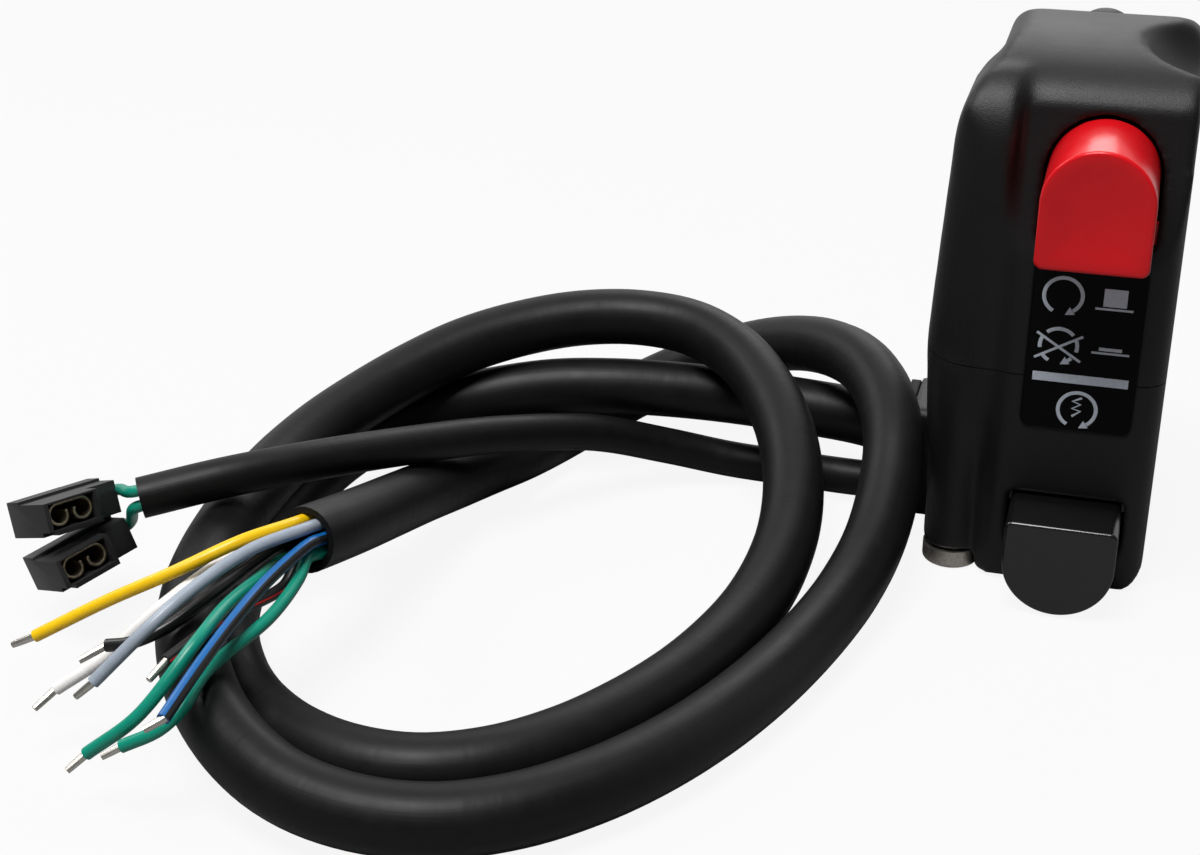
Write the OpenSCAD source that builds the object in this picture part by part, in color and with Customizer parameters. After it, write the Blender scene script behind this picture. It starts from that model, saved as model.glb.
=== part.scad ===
// Handlebar switch cluster: engine stop and start buttons in a two-part case that clamps on a bar.
// Millimetres. The origin is the centre of the bar, +X along the bar, +Y away from the rider, +Z up.

/* [Handlebar] */
// Diameter of the handlebar that the case clamps on
bar_d = 22.2; // [20:0.1:25.4]
// Wall of the case around the bar
bar_wall = 2.4; // [1.5:0.1:3.5]
// Gap between the two halves when they are clamped
clamp_gap = 0.15; // [0.1:0.05:0.8]

/* [Case] */
// From the bar's axis to the front face
case_front = 19.5; // [18.5:0.1:24]
// From the bar's axis to the back face
case_back = 15; // [14:0.1:18]
// From the middle plane to the left side
case_left = 13.5; // [12.5:0.1:16]
// From the middle plane to the left edge of the front panel
panel_left = 11; // [10:0.1:12.5]
// From the middle plane to the right side
case_right = 10.5; // [10:0.1:14]
// From the bar's axis to the top
case_top = 38.5; // [37:0.1:46]
// From the bar's axis to the bottom
case_bottom = 28.4; // [28:0.1:34]
// Wall of the case
wall = 2; // [1.4:0.1:2.4]
// How far the front leans back beside the stop button
front_lean = 4; // [2:0.1:5]
// Corner radius of the case
corner_r = 3.5; // [2:0.1:5]
// Radius of the scoop at the top right
scoop_r = 11; // [8:0.1:11.4]

/* [Clamp screws] */
// Diameter of a clamp screw
screw_d = 4; // [3:0.1:4.2]
// Diameter of a screw's head
screw_head_d = 7.2; // [5.5:0.1:7.4]
// Thickness of a screw's head
screw_head_h = 2.4; // [1.5:0.1:3]
// Radius of a screw column
column_r = 4.3; // [3.8:0.1:4.6]
// Height of the front column's shoulder above the bar
column_top = 36.3; // [30:0.1:36.8]
// Length of a brass screw insert
insert_l = 11; // [6:0.5:16]

/* [Stop button] */
// Width of the stop button
stop_w = 12.9; // [11:0.1:13.4]
// Height of the stop button
stop_h = 14.4; // [13.2:0.1:15]
// Height of the stop button's middle above the bar
stop_z = 24.1; // [23:0.1:25]
// How far the stop button stands out of the front face
stop_out = 9; // [7:0.1:12]
// Travel of the stop button
stop_travel = 4.5; // [3:0.1:5]

/* [Start button] */
// Width of the start button
start_w = 13.5; // [11:0.1:13.8]
// Height of the start button where it enters the case
start_h = 10.8; // [9:0.1:11]
// Depth of the start button's middle below the bar
start_z = 21.5; // [21:0.1:22]
// How far the start button stands out of the front face
start_out = 8; // [6:0.1:10]
// Travel of the start button
start_travel = 2.5; // [1.5:0.1:3]

/* [Legend plate] */
// Width of the legend plate
legend_w = 13.1; // [10:0.1:15]
// Height of the legend plate
legend_h = 21.4; // [16:0.1:22]
// Thickness of the legend plate
legend_t = 0.6; // [0.4:0.05:1]

/* [Cables] */
// Outside diameter of the loom's sheath
loom_d = 7.8; // [6:0.1:7.8]
// Outside diameter of the lead's sheath
lead_d = 5; // [4:0.1:5]
// Diameter of an insulated wire
wire_d = 1.6; // [1.2:0.1:1.7]
// Diameter of a bare wire end
core_d = 0.9; // [0.6:0.1:1.1]

/* [Connectors] */
// Width of the spade that a connector takes
spade_w = 4.8; // [2.8:0.1:4.9]
// Depth of a connector along its socket
connector_w = 8.8; // [8:0.1:10]
// Length of the part of a connector that takes the wire
connector_tail = 4; // [3:0.1:4.5]

/* [Fits] */
// Clearance around a button in its window
button_gap = 0.4; // [0.3:0.05:0.6]
// Radial clearance of a plunger in its guide
slide_fit = 0.05; // [0.02:0.01:0.1]
// Clearance of pieces that are pressed or seated together
seat_fit = 0.03; // [0.01:0.01:0.05]
// Radial clearance of a cable in the case
cable_fit = 0.1; // [0.05:0.05:0.3]

/* [Hidden] */
$fn = 48;
// Reach of a cut past the face that it opens
past = 1;

bar_r = bar_d / 2;
tube_r = bar_r + bar_wall;
// The surface that the case and the cables stand on
table_z = -case_bottom - 0.1;
// Middle of the buttons and the legend plate across the panel
controls_x = 0.4;
// Screw columns: front left and rear
front_column = [-case_left - 0.1, -case_front + 4.5];
rear_column = [-2, case_back + 0.5];
columns = [front_column, rear_column];
// The front column stands in a broad rib, which leans to the case as it rises and ends in a shoulder
rib_r = 7.6;
rib_foot_r = 5.9;
rib_at = [-panel_left - 0.4, -case_front + 0.6 + rib_r];
rib_step = 1.7;
rib_lean = 1.7;
rib_round = [5, 10.3];
rib_back = 8.8;
rear_top = column_top + 1.2;
screw_hole_r = screw_d / 2 + 0.15;
insert_r = screw_d / 2 + 0.6;
head_seat_z = table_z + screw_head_h;
// Round scoop at the top right, behind the front panel
scoop_at = [case_right + 2.5, -2.5, case_top + 4.7];
scoop_wall = 1.2;

// Stop switch, from front to back
stop_front = -case_front - stop_out;
stop_back = -case_front + 4.5;
stop_pocket_r = 4.2;
stop_pocket_floor = -case_front - 2;
stop_rod_r = 2.3;
stop_tip_r = 1.2;
stop_socket = 2;
stop_base_front = -8;
stop_plate = 3;
stop_half_w = 7.2;
stop_base_low = tube_r + 2;
stop_base_high = stop_z + stop_h / 2 + 0.3;
base_wall = 2;
bridge_t = 0.8;
contact_t = 0.8;
contact_air = 0.3;
rear_plate = 2;
stop_bridge_y = -2;
stop_contact_y = stop_bridge_y + bridge_t + stop_travel + contact_air;
stop_base_back = stop_contact_y + contact_t + rear_plate;
stop_bridge_w = 8.4;
contact_x = 3;
contact_w = 2.4;
tail_l = 2.6;
// Cam fin of the stop plunger and its latch, both under the roof of the switch base
roof_gap = 0.2;
fin_w = 2.4;
fin_l = 2.5;
fin_top = stop_base_high - base_wall - roof_gap - stop_z;
fin_y = stop_bridge_y - fin_l;
latch_x = controls_x + 5.6;
latch_y = -1.5;
latch_above_rod = 0.6;
latch_z = stop_z + stop_rod_r + latch_above_rod;
latch_h = stop_z + fin_top - latch_z;
latch_hub_r = 1.4;
latch_pin_r = 0.75;
latch_arm_t = 1.2;
latch_gap = 0.4;

// Start switch, from front to back
start_mid = -start_z;
start_front = -case_front - start_out;
start_back = -case_front + 5;
start_pocket_r = 3.4;
start_pocket_floor = -case_front - 1.5;
// Face of the start button, which reaches down to the case's bottom and stays in front of it
start_top = start_mid + start_h / 2;
start_face_low = -case_bottom + 0.2;
start_face_back = min(-case_front - start_travel - 0.3, start_pocket_floor - stop_socket);
start_rod_r = 1.8;
start_tip_r = 1;
start_base_front = -5;
start_plate = 2;
start_half_w = 6;
start_base_low = -case_bottom + wall;
start_base_high = start_top - 0.4;
start_wall = 1.5;
start_bridge_y = -1.5;
start_bridge_w = 8;
start_contact_y = start_bridge_y + bridge_t + start_travel + contact_air;
start_base_back = start_contact_y + contact_t + rear_plate;

// Retaining ears beside the buttons
ear_w = 1.2;
ear_h = 2.6;
ear_t = 1.2;
// Springs
spring_wire = 0.7;
spring_turns = 6;
spring_r_stop = 3.3;
spring_r_start = 2.7;

// Legend plate, in a shallow seat that crosses the parting line
legend_below_stop = 2;
legend_low = stop_z - stop_h / 2 - legend_below_stop - legend_h;
legend_seat = legend_t - 0.2;
legend_r = 1;
legend_gap = 0.15;

// Cable outlet on the left
loom_y = 1.5;
loom_rise = 10.1;
lead_y = -2;
lead_rise = 3.3;
loom_exit = [loom_y, table_z + loom_rise];
lead_exit = [lead_y, table_z + lead_rise];
outlet_end = -case_left - 7.5;
outlet_wall = 1.8;
outlet_y = [loom_y - loom_d / 2 - 3, loom_y + loom_d / 2 + outlet_wall];
outlet_top = loom_exit[1] + loom_d / 2 + outlet_wall;
outlet_r = 1.5;
grommet_t = 1.4;
sheath_start = -8.6;
tie_t = 0.7;
tie_w = 2.2;
tie_x = -10.8;

// Route of the loom: across, away and above the surface that it lies on
LOOM = [[-30, 3, 10.3], [-38.3, 2.8, 10.9], [-46.6, 1.9, 11.6], [-54.7, 0.2, 12.3], [-62.9, -1.8, 12.7],
    [-71.1, -3.9, 12.5], [-79, -6.5, 11.4], [-86.4, -10, 10], [-92.2, -15.3, 8.5], [-96, -22.3, 6.9],
    [-98, -30.3, 5.6], [-98.6, -38.7, 4.7], [-98, -47.1, 4.2], [-96.3, -55.4, 4], [-93.5, -63.3, 4],
    [-89.3, -70.7, 4], [-83.9, -77.2, 4], [-77.1, -82.2, 4], [-69.4, -84.9, 4], [-61.5, -84.7, 4],
    [-54.2, -81.3, 4], [-48.1, -75.6, 4], [-43.3, -68.6, 4], [-39.4, -61, 4.1], [-36.4, -53.1, 4.4],
    [-34.1, -45, 5.2], [-32.7, -36.9, 6.8], [-32.5, -28.9, 9], [-33.7, -21.1, 11.8], [-36.4, -13.6, 14.8],
    [-40.6, -6.7, 17.5], [-46.1, -0.8, 19.5], [-53, 3.1, 20.7], [-60.8, 3.8, 21.1], [-68.7, 1.6, 21],
    [-76.1, -2.4, 20.2], [-82.6, -7.8, 19], [-87.9, -14.1, 17.3], [-92.2, -21.2, 15.6],
    [-95.4, -28.8, 14.2], [-97.2, -36.8, 13.1], [-97.6, -45.1, 12.4], [-97, -53.5, 12.2],
    [-95.6, -61.9, 12], [-93.4, -70, 11.7], [-90.1, -77.7, 10.8], [-85.5, -84.5, 9.2], [-79.4, -89.9, 7.3],
    [-72.1, -93.4, 5.7], [-64, -94.4, 4.8], [-56, -92.9, 4.4], [-48.8, -88.9, 4.3], [-42.7, -83.1, 4.3],
    [-37.8, -76.3, 4.2], [-33.8, -68.8, 4.1], [-30.5, -61, 4.1], [-27.8, -53.1, 4.2], [-25.4, -45, 4.7],
    [-23.4, -37, 5.8], [-21.9, -29.1, 8.1], [-21.4, -21.5, 11.6], [-22.1, -14.1, 15.5],
    [-24.6, -6.9, 18.4], [-28.9, -0.2, 19.7], [-34.8, 5.7, 19], [-41.4, 10.7, 16.6], [-48.5, 14, 13.3],
    [-55.6, 14.7, 9.8], [-62.2, 12, 6.7], [-67.3, 6.3, 4.7], [-71, -1.2, 4], [-73.9, -9.2, 4.4],
    [-76.5, -16.8, 5.4], [-78.3, -24.9, 7], [-79.5, -33.6, 9.2], [-80.1, -43.3, 11.9], [-80.5, -52, 14.4],
    [-81.1, -59.1, 16.4], [-82, -64.1, 17.6]];
// Route of the lead
LEAD = [[-30, -1.5, 3], [-38, -0.5, 2.7], [-46, -1, 3.2], [-54.5, -4.5, 5.8], [-63, -11.5, 9.8],
    [-72.8, -23.1, 13.5], [-81.4, -35.4, 16.3], [-89.3, -46.9, 18.5], [-97, -54.7, 18.9],
    [-105.1, -60.3, 17.8]];
// Routes of the loom's wires after they leave the sheath, each to its bare tip
YELLOW = [[-86.1, -71.7, 20.8], [-92.1, -76.4, 18.5], [-99.2, -78.7, 15.1], [-107.4, -81.2, 10.6],
    [-110, -81.8, 9.4]];
GREY = [[-84.7, -72.5, 20.3], [-88, -79.5, 18.9], [-90.6, -84.6, 16.8], [-95.9, -88.8, 11.2],
    [-97.7, -89.6, 9.6]];
WHITE = [[-88, -71.4, 18.2], [-92.7, -78.9, 15.4], [-97.9, -82.9, 10.5], [-102.7, -85.6, 7.2],
    [-104, -88.1, 6]];
BLACK = [[-86.2, -70.1, 16.8], [-88.1, -77.3, 16.1], [-90.8, -82, 14.7], [-93.9, -84, 13.6],
    [-96.5, -84.4, 13.1], [-98.7, -86.6, 12.1]];
BLACK_RED = [[-82.2, -69.8, 14.7], [-85.4, -78.2, 14.8], [-87.7, -87.6, 14.5], [-88.4, -90.1, 13.6]];
GREEN = [[-83.8, -70.4, 16.6], [-84.5, -79.1, 17.1], [-84.4, -87.4, 16.8], [-88.1, -93.4, 11.4],
    [-93.8, -94.9, 6.6], [-95.2, -96.7, 5.4]];
GREEN_LOWER = [[-80.2, -70.1, 16.2], [-80.4, -77.4, 15.3], [-83.5, -86.8, 13.5], [-83.5, -92.4, 12.5],
    [-85.1, -94.6, 11], [-89, -95.8, 9], [-90.7, -97, 8.2]];
BLUE = [[-81.7, -74.2, 18.1], [-82.1, -82.4, 17.5], [-82.4, -90.4, 16.3], [-83, -97.2, 14.3],
    [-84.5, -98.6, 13.6]];
WIRE_ROUTES = [YELLOW, GREY, WHITE, BLACK, BLACK_RED, GREEN, GREEN_LOWER, BLUE];
// Place of each wire in the end of the loom: angle in degrees, in the order of the routes
WIRE_ANGLES = [75, 120, 30, 345, 255, 300, 210, 165];
wire_ring_r = 2.3;
// Place and turn of the connectors
CONNECTOR_UPPER = [-115.8, -61.4, 15];
CONNECTOR_LOWER = [-113.3, -63.2, 9.7];
UPPER_TURN = [-20, 4, 63];
LOWER_TURN = [-20, -8, 63];
// Routes of the wires inside the case, between a contact and the loom: across, away and up
STOP_LEAD = [[-8.7, 7.5, 22], [-8.7, 0, 20], [-8.7, -10, 17], [-7.9, -14.8, 11], [-7.8, -15.4, 0],
    [-7.8, -14.8, -11], [-7.4, -9, -16.5], [-7.2, -4, -17.6]];
START_LEAD = [[-6.6, 7, -20.6]];

function unit(v) = v / norm(v);
function tangent(p, i) = unit(p[min(i + 1, len(p) - 1)] - p[max(i - 1, 0)]);
function side_dirs(p, s, i = 0) =
    let (t = tangent(p, i), q = unit(s - (s * t) * t))
    i == len(p) - 1 ? [q] : concat([q], side_dirs(p, q, i + 1));
function arc(c, r, a0, a1, n = 8) =
    [for (k = [0 : n]) let (a = a0 + (a1 - a0) * k / n) [c[0] + r[0] * cos(a), c[1] + r[1] * sin(a)]];
function on_table(route) = [for (p = route) [p[0], p[1], table_z + p[2]]];
function helix(r, y0, y1, z) = [for (k = [0 : 8 * spring_turns])
    let (a = 45 * k) [controls_x + r * cos(a), y0 + (y1 - y0) * k / (8 * spring_turns), z + r * sin(a)]];
function last(p) = p[len(p) - 1];
// Least distance between stretches of a route that are more than a few points apart
function least_gap(p, d, skip = 4) =
    min([for (i = [0 : len(p) - 2]) for (j = [i + skip : 1 : len(p) - 2]) for (u = [0 : 0.25 : 0.75])
        for (v = [0 : 0.25 : 0.75])
            norm(p[i] * (1 - u) + p[i + 1] * u - p[j] * (1 - v) - p[j + 1] * v)]) - d;

// A cable runs straight through its outlet before its route begins
function outlet_run(exit) = [for (x = [sheath_start, outlet_end + 5, outlet_end - 2]) [x, exit[0], exit[1]]];
loom_path = concat(outlet_run(loom_exit), on_table(LOOM));
lead_path = concat(outlet_run(lead_exit), on_table(LEAD));
echo(loom_gap_to_itself = least_gap(loom_path, loom_d));

// A round cord swept along a path
module tube(path, r, sides = 8, first_side = [0.3, 0.2, 1]) {
    dirs = side_dirs(path, first_side);
    points = [for (i = [0 : len(path) - 1]) let (t = tangent(path, i), s = dirs[i], u = cross(t, s))
        for (k = [0 : sides - 1]) path[i] + r * (cos(360 * k / sides) * s + sin(360 * k / sides) * u)];
    ends = [[for (k = [0 : sides - 1]) k],
        [for (k = [sides - 1 : -1 : 0]) (len(path) - 1) * sides + k]];
    walls = [for (i = [0 : len(path) - 2]) for (k = [0 : sides - 1])
        let (a = i * sides + k, b = i * sides + (k + 1) % sides)
        each [[a, a + sides, b + sides], [a, b + sides, b]]];
    polyhedron(points, concat(ends, walls));
}

module along_x(x0, x1) {
    translate([x0, 0, 0]) rotate([90, 0, 90]) linear_extrude(x1 - x0) children();
}

module along_y(y0, y1) {
    translate([0, y1, 0]) rotate([90, 0, 0]) linear_extrude(y1 - y0) children();
}

module rod_y(x, z, r, y0, y1) {
    translate([x, y1, z]) rotate([90, 0, 0]) cylinder(r = r, h = y1 - y0);
}

module rod_x(y, z, r, x0, x1) {
    translate([x0, y, z]) rotate([0, 90, 0]) cylinder(r = r, h = x1 - x0);
}

module block(x0, x1, y0, y1, z0, z1) {
    translate([x0, y0, z0]) cube([x1 - x0, y1 - y0, z1 - z0]);
}

// A rectangle with round corners
module rounded(x0, x1, y0, y1, r) {
    translate([x0 + r, y0]) square([x1 - x0 - 2 * r, y1 - y0]);
    translate([x0, y0 + r]) square([x1 - x0, y1 - y0 - 2 * r]);
    for (x = [x0 + r, x1 - r]) for (y = [y0 + r, y1 - r]) translate([x, y]) circle(r);
}

// A button's outline: flat on one side, round on the other
module arch(w, h, grow = 0, low_r = 1) {
    r = w / 2 + grow;
    low = -h / 2 - grow;
    mid = h / 2 - w / 2;
    intersection() {
        union() {
            translate([0, mid]) circle(r);
            translate([-r, low]) square([2 * r, mid - low]);
        }
        rounded(-r, r, low, h / 2 + grow, low_r);
    }
}

module stop_outline(grow = 0) {
    translate([controls_x, stop_z]) arch(stop_w, stop_h, grow);
}

module start_outline(grow = 0) {
    translate([controls_x, start_mid]) mirror([0, 1]) arch(start_w, start_h, grow);
}

// The case without its hollows, drawn in by an inset for the cavity
module case_form(inset = 0) {
    r = corner_r - inset / 2;
    intersection() {
        translate([0, 0, -case_bottom + inset]) linear_extrude(case_bottom + case_top - 2 * inset) {
            rounded(-panel_left + inset, case_right - inset, -case_front + inset, case_back - inset, r);
            rounded(-case_left + inset, 0, front_column[1], case_back - inset, r);
        }
        along_x(-case_left, case_right) case_side(inset);
        along_y(-case_front, case_back)
            rounded(-case_left + inset, case_right - inset, -case_bottom + inset, case_top - inset, r);
    }
}

// Side view of the case
module case_side(inset) {
    front = -case_front + inset;
    top = case_top - inset;
    low = -case_bottom + inset;
    back = case_back - inset;
    lean_low = stop_z - stop_h / 2 - 2;
    lean_high = stop_z + stop_h / 2;
    crown_mid = 2;
    crown = [crown_mid - front - front_lean, top - lean_high];
    low_r = corner_r - 2;
    top_back = back - 3.5;
    polygon(concat(
        arc([front + low_r, low + low_r], [low_r, low_r], 270, 180),
        [[front, lean_low]],
        arc([crown_mid, lean_high], crown, 180, 90, 12),
        arc([top_back - corner_r, top - corner_r], [corner_r, corner_r], 90, 0),
        [[back, tube_r]],
        arc([back - corner_r, low + corner_r], [corner_r, corner_r], 0, -90)));
}

// The hollow of the case, around the bar's tube and the screw columns
module case_cavity() {
    difference() {
        case_form(wall);
        rod_x(0, 0, tube_r, -case_left, case_right);
        for (c = columns) translate([c[0], c[1], -case_bottom]) cylinder(r = column_r, h = case_bottom + case_top);
        translate(scoop_at) sphere(scoop_r + scoop_wall);
    }
}

// The upper screw columns: the front one in its rib, the rear one with a round top
module upper_columns() {
    low = clamp_gap / 2;
    left = rib_at[0] - rib_r;
    right = rib_at[0] + rib_step;
    front = rib_at[1] - rib_r;
    back = rib_at[1] + rib_r + past;
    turn_z = column_top - rib_round[1];
    intersection() {
        translate([rib_at[0], rib_at[1], low]) cylinder(r = rib_r, h = column_top - low);
        along_y(front - past, back) polygon(concat(
            [[left, low]],
            arc([left + rib_lean + rib_round[0], turn_z], rib_round, 180, 90, 12),
            [[right, column_top], [right, low]]));
        along_x(left - past, right) polygon(concat(
            [[front - past, low], [front - past, 0.5 * turn_z]],
            arc([front + rib_back, turn_z], [rib_back, rib_round[1]], 180, 90, 12),
            [[back, column_top], [back, low]]));
    }
    translate([rear_column[0], rear_column[1], low]) cylinder(r = column_r, h = rear_top - column_r - low);
    translate([rear_column[0], rear_column[1], rear_top - column_r]) sphere(column_r);
}

// The lower screw columns: the rib and the rear column taper down to the screws' heads
module lower_columns() {
    high = -clamp_gap / 2 - head_seat_z;
    head_r = screw_head_d / 2 + 0.1;
    translate([rib_at[0], rib_at[1], head_seat_z]) cylinder(r1 = rib_foot_r, r2 = rib_r, h = high);
    translate([front_column[0], front_column[1], head_seat_z]) cylinder(r = head_r, h = high);
    translate([rear_column[0], rear_column[1], head_seat_z]) cylinder(r1 = head_r, r2 = column_r, h = high);
}

module legend_seat_cut() {
    along_y(-case_front - past, -case_front + legend_seat)
        translate([controls_x, 0])
        rounded(-legend_w / 2 - legend_gap, legend_w / 2 + legend_gap,
            legend_low - legend_gap, legend_low + legend_h + legend_gap, legend_r);
}

module bar_bore() {
    rod_x(0, 0, bar_r, -2 * case_left, 2 * case_right);
}

module half_space(low, high) {
    block(-3 * case_left, 3 * case_right, -2 * case_front, 3 * case_back, low, high);
}

module upper_housing() {
    color("#1c1c1e") difference() {
        union() {
            difference() {
                union() {
                    intersection() {
                        case_form();
                        half_space(clamp_gap / 2, case_top + past);
                    }
                    upper_columns();
                }
                intersection() {
                    case_cavity();
                    half_space(-past, case_top);
                }
                translate(scoop_at) sphere(scoop_r);
                along_y(stop_front, stop_base_front) stop_outline(button_gap);
            }
            block(controls_x - stop_half_w, controls_x + stop_half_w, stop_base_front + 4, stop_base_back - 1,
                bar_r + bar_wall / 2, stop_base_low - seat_fit);
        }
        bar_bore();
        legend_seat_cut();
        for (c = columns) translate([c[0], c[1], 0]) cylinder(r = insert_r + seat_fit, h = insert_l + past);
    }
}

module lower_housing() {
    color("#1c1c1e") difference() {
        union() {
            difference() {
                union() {
                    intersection() {
                        case_form();
                        half_space(-case_bottom - past, -clamp_gap / 2);
                    }
                    lower_columns();
                }
                intersection() {
                    case_cavity();
                    half_space(-case_bottom, past);
                }
                along_y(start_front, start_base_front) start_outline(button_gap);
            }
            along_x(outlet_end, -case_left + wall)
                rounded(outlet_y[0], outlet_y[1], table_z, outlet_top, outlet_r);
        }
        bar_bore();
        legend_seat_cut();
        rod_x(loom_exit[0], loom_exit[1], loom_d / 2 + cable_fit, outlet_end - past, sheath_start + past);
        rod_x(lead_exit[0], lead_exit[1], lead_d / 2 + cable_fit, outlet_end - past, sheath_start + past);
        for (c = columns) translate([c[0], c[1], table_z - past]) {
            cylinder(r = screw_hole_r, h = case_bottom + 2 * past);
            cylinder(r = screw_head_d / 2 + 0.4, h = screw_head_h + past);
        }
    }
}

module legend_plate() {
    color("#08080a") along_y(-case_front + legend_seat - legend_t - seat_fit, -case_front + legend_seat - seat_fit)
        translate([controls_x, 0])
        rounded(-legend_w / 2, legend_w / 2, legend_low, legend_low + legend_h, legend_r);
}

module clamp_screws() {
    slot_w = 1;
    slot_l = 0.6 * screw_head_d;
    color("#9a9da2") for (c = columns) translate([c[0], c[1], table_z]) difference() {
        union() {
            cylinder(r = screw_head_d / 2, h = screw_head_h - seat_fit);
            cylinder(r = screw_d / 2, h = -table_z + insert_l);
        }
        block(-slot_w / 2, slot_w / 2, -slot_l / 2, slot_l / 2, -past, screw_head_h / 2);
        block(-slot_l / 2, slot_l / 2, -slot_w / 2, slot_w / 2, -past, screw_head_h / 2);
    }
}

module screw_inserts() {
    color("#b08d3c") for (c = columns) translate([c[0], c[1], clamp_gap / 2]) difference() {
        cylinder(r = insert_r, h = insert_l);
        translate([0, 0, -past]) cylinder(r = screw_d / 2 + seat_fit, h = insert_l + 2 * past);
    }
}

// A button cap with its hollow, its plunger socket and its two ears
module cap(front, back, floor_y, pocket_r, rod_r, z, w, ear_z) {
    difference() {
        union() {
            along_y(front, back) children();
            block(controls_x - w / 2 - ear_w, controls_x + w / 2 + ear_w, back - ear_t, back, ear_z, ear_z + ear_h);
        }
        rod_y(controls_x, z, pocket_r, floor_y, back + past);
        rod_y(controls_x, z, rod_r + seat_fit, floor_y - stop_socket, floor_y + past);
    }
}

// A stepped plunger from its socket to the tip that carries the bridge
module plunger(floor_y, bridge_y, rod_r, tip_r, z) {
    rod_y(controls_x, z, rod_r, floor_y - stop_socket + seat_fit, bridge_y);
    rod_y(controls_x, z, tip_r, bridge_y, bridge_y + bridge_t + 1.2);
}

module bridge(y, w, h, tip_r, z) {
    difference() {
        block(controls_x - w / 2, controls_x + w / 2, y + seat_fit, y + bridge_t, z - h / 2, z + h / 2);
        rod_y(controls_x, z, tip_r + seat_fit, y - past, y + bridge_t + past);
    }
}

module spring(r, floor_y, seat_y, z) {
    w = spring_wire / 2;
    tube(helix(r, floor_y + w + seat_fit, seat_y - w - seat_fit, z), w, 6);
}

// An open frame that guides the plunger and carries the contacts
module switch_base(half_w, front, plate, back, low, high, thick, rod_r, tip_r, z) {
    difference() {
        block(controls_x - half_w, controls_x + half_w, front, back, low, high);
        block(controls_x - half_w - past, controls_x + half_w + past, front + plate, back - rear_plate,
            low + thick, high - thick);
        rod_y(controls_x, z, rod_r + slide_fit, front - past, front + plate + past);
        rod_y(controls_x, z, tip_r + 0.5, back - rear_plate - past, back + past);
        for (s = [-1, 1]) block(controls_x + s * contact_x - contact_w / 2 - seat_fit,
            controls_x + s * contact_x + contact_w / 2 + seat_fit, back - rear_plate - past, back + past,
            z - contact_t / 2 - seat_fit, z + contact_t / 2 + seat_fit);
    }
}

module contacts(y, back, pad_h, z) {
    for (s = [-1, 1]) {
        block(controls_x + s * contact_x - contact_w / 2, controls_x + s * contact_x + contact_w / 2,
            y, y + contact_t - seat_fit, z - pad_h / 2, z + pad_h / 2);
        block(controls_x + s * contact_x - contact_w / 2, controls_x + s * contact_x + contact_w / 2,
            y, back + tail_l, z - contact_t / 2, z + contact_t / 2);
    }
}

module stop_button() {
    color("#c4161c") cap(stop_front, stop_back, stop_pocket_floor, stop_pocket_r, stop_rod_r, stop_z, stop_w,
        stop_z - stop_h / 2) stop_outline();
}

module stop_plunger() {
    color("#e6e2d6") {
        plunger(stop_pocket_floor, stop_bridge_y, stop_rod_r, stop_tip_r, stop_z);
        block(controls_x - fin_w / 2, controls_x + fin_w / 2, fin_y, fin_y + fin_l, stop_z, stop_z + fin_top);
    }
}

module stop_bridge() {
    color("#b08d3c") bridge(stop_bridge_y, stop_bridge_w, 4, stop_tip_r, stop_z);
}

module stop_spring() {
    color("#b9bcc2") spring(spring_r_stop, stop_pocket_floor, stop_base_front, stop_z);
}

module stop_switch_base() {
    color("#3a3a3c") difference() {
        switch_base(stop_half_w, stop_base_front, stop_plate, stop_base_back, stop_base_low, stop_base_high,
            base_wall, stop_rod_r, stop_tip_r, stop_z);
        translate([latch_x, latch_y, stop_base_low - past])
            cylinder(r = latch_pin_r + seat_fit, h = stop_base_high - stop_base_low + 2 * past);
    }
}

module stop_contacts() {
    color("#b08d3c") contacts(stop_contact_y, stop_base_back, 5, stop_z);
}

module stop_latch() {
    arm_end = controls_x + fin_w / 2 + latch_gap;
    color("#8d9095") translate([0, 0, latch_z]) difference() {
        union() {
            translate([latch_x, latch_y, 0]) cylinder(r = latch_hub_r, h = latch_h);
            block(arm_end, latch_x, latch_y - latch_arm_t / 2, latch_y + latch_arm_t / 2, 0, latch_h);
        }
        translate([latch_x, latch_y, -past]) cylinder(r = latch_pin_r + slide_fit, h = latch_h + 2 * past);
    }
}

module stop_latch_pin() {
    color("#b9bcc2") translate([latch_x, latch_y, stop_base_low])
        cylinder(r = latch_pin_r, h = stop_base_high - stop_base_low);
}

module start_button() {
    face_h = start_top - start_face_low;
    color("#161618") {
        cap(start_front, start_back, start_pocket_floor, start_pocket_r, start_rod_r, start_mid,
            start_w, start_top - ear_h) start_outline();
        along_y(start_front, start_face_back)
            translate([controls_x, start_top - face_h / 2]) mirror([0, 1]) arch(start_w, face_h);
    }
}

module start_plunger() {
    color("#e6e2d6") plunger(start_pocket_floor, start_bridge_y, start_rod_r, start_tip_r, start_mid);
}

module start_bridge() {
    color("#b08d3c") bridge(start_bridge_y, start_bridge_w, 3, start_tip_r, start_mid);
}

module start_spring() {
    color("#b9bcc2") spring(spring_r_start, start_pocket_floor, start_base_front, start_mid);
}

module start_switch_base() {
    color("#3a3a3c") switch_base(start_half_w, start_base_front, start_plate, start_base_back,
        start_base_low + seat_fit, start_base_high, start_wall, start_rod_r, start_tip_r, start_mid);
}

module start_contacts() {
    color("#b08d3c") contacts(start_contact_y, start_base_back, 4, start_mid);
}

// From a contact's tail to the end of the loom
function inner_lead(tail, route, place) = concat(
    [tail + [0, seat_fit, 0], tail + [0, 0.9, 0], tail + [-1.8, 1.1, 0]], route,
    [[sheath_start + 1.2, place[0], place[1]], [sheath_start + seat_fit, place[0], place[1]]]);

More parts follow.
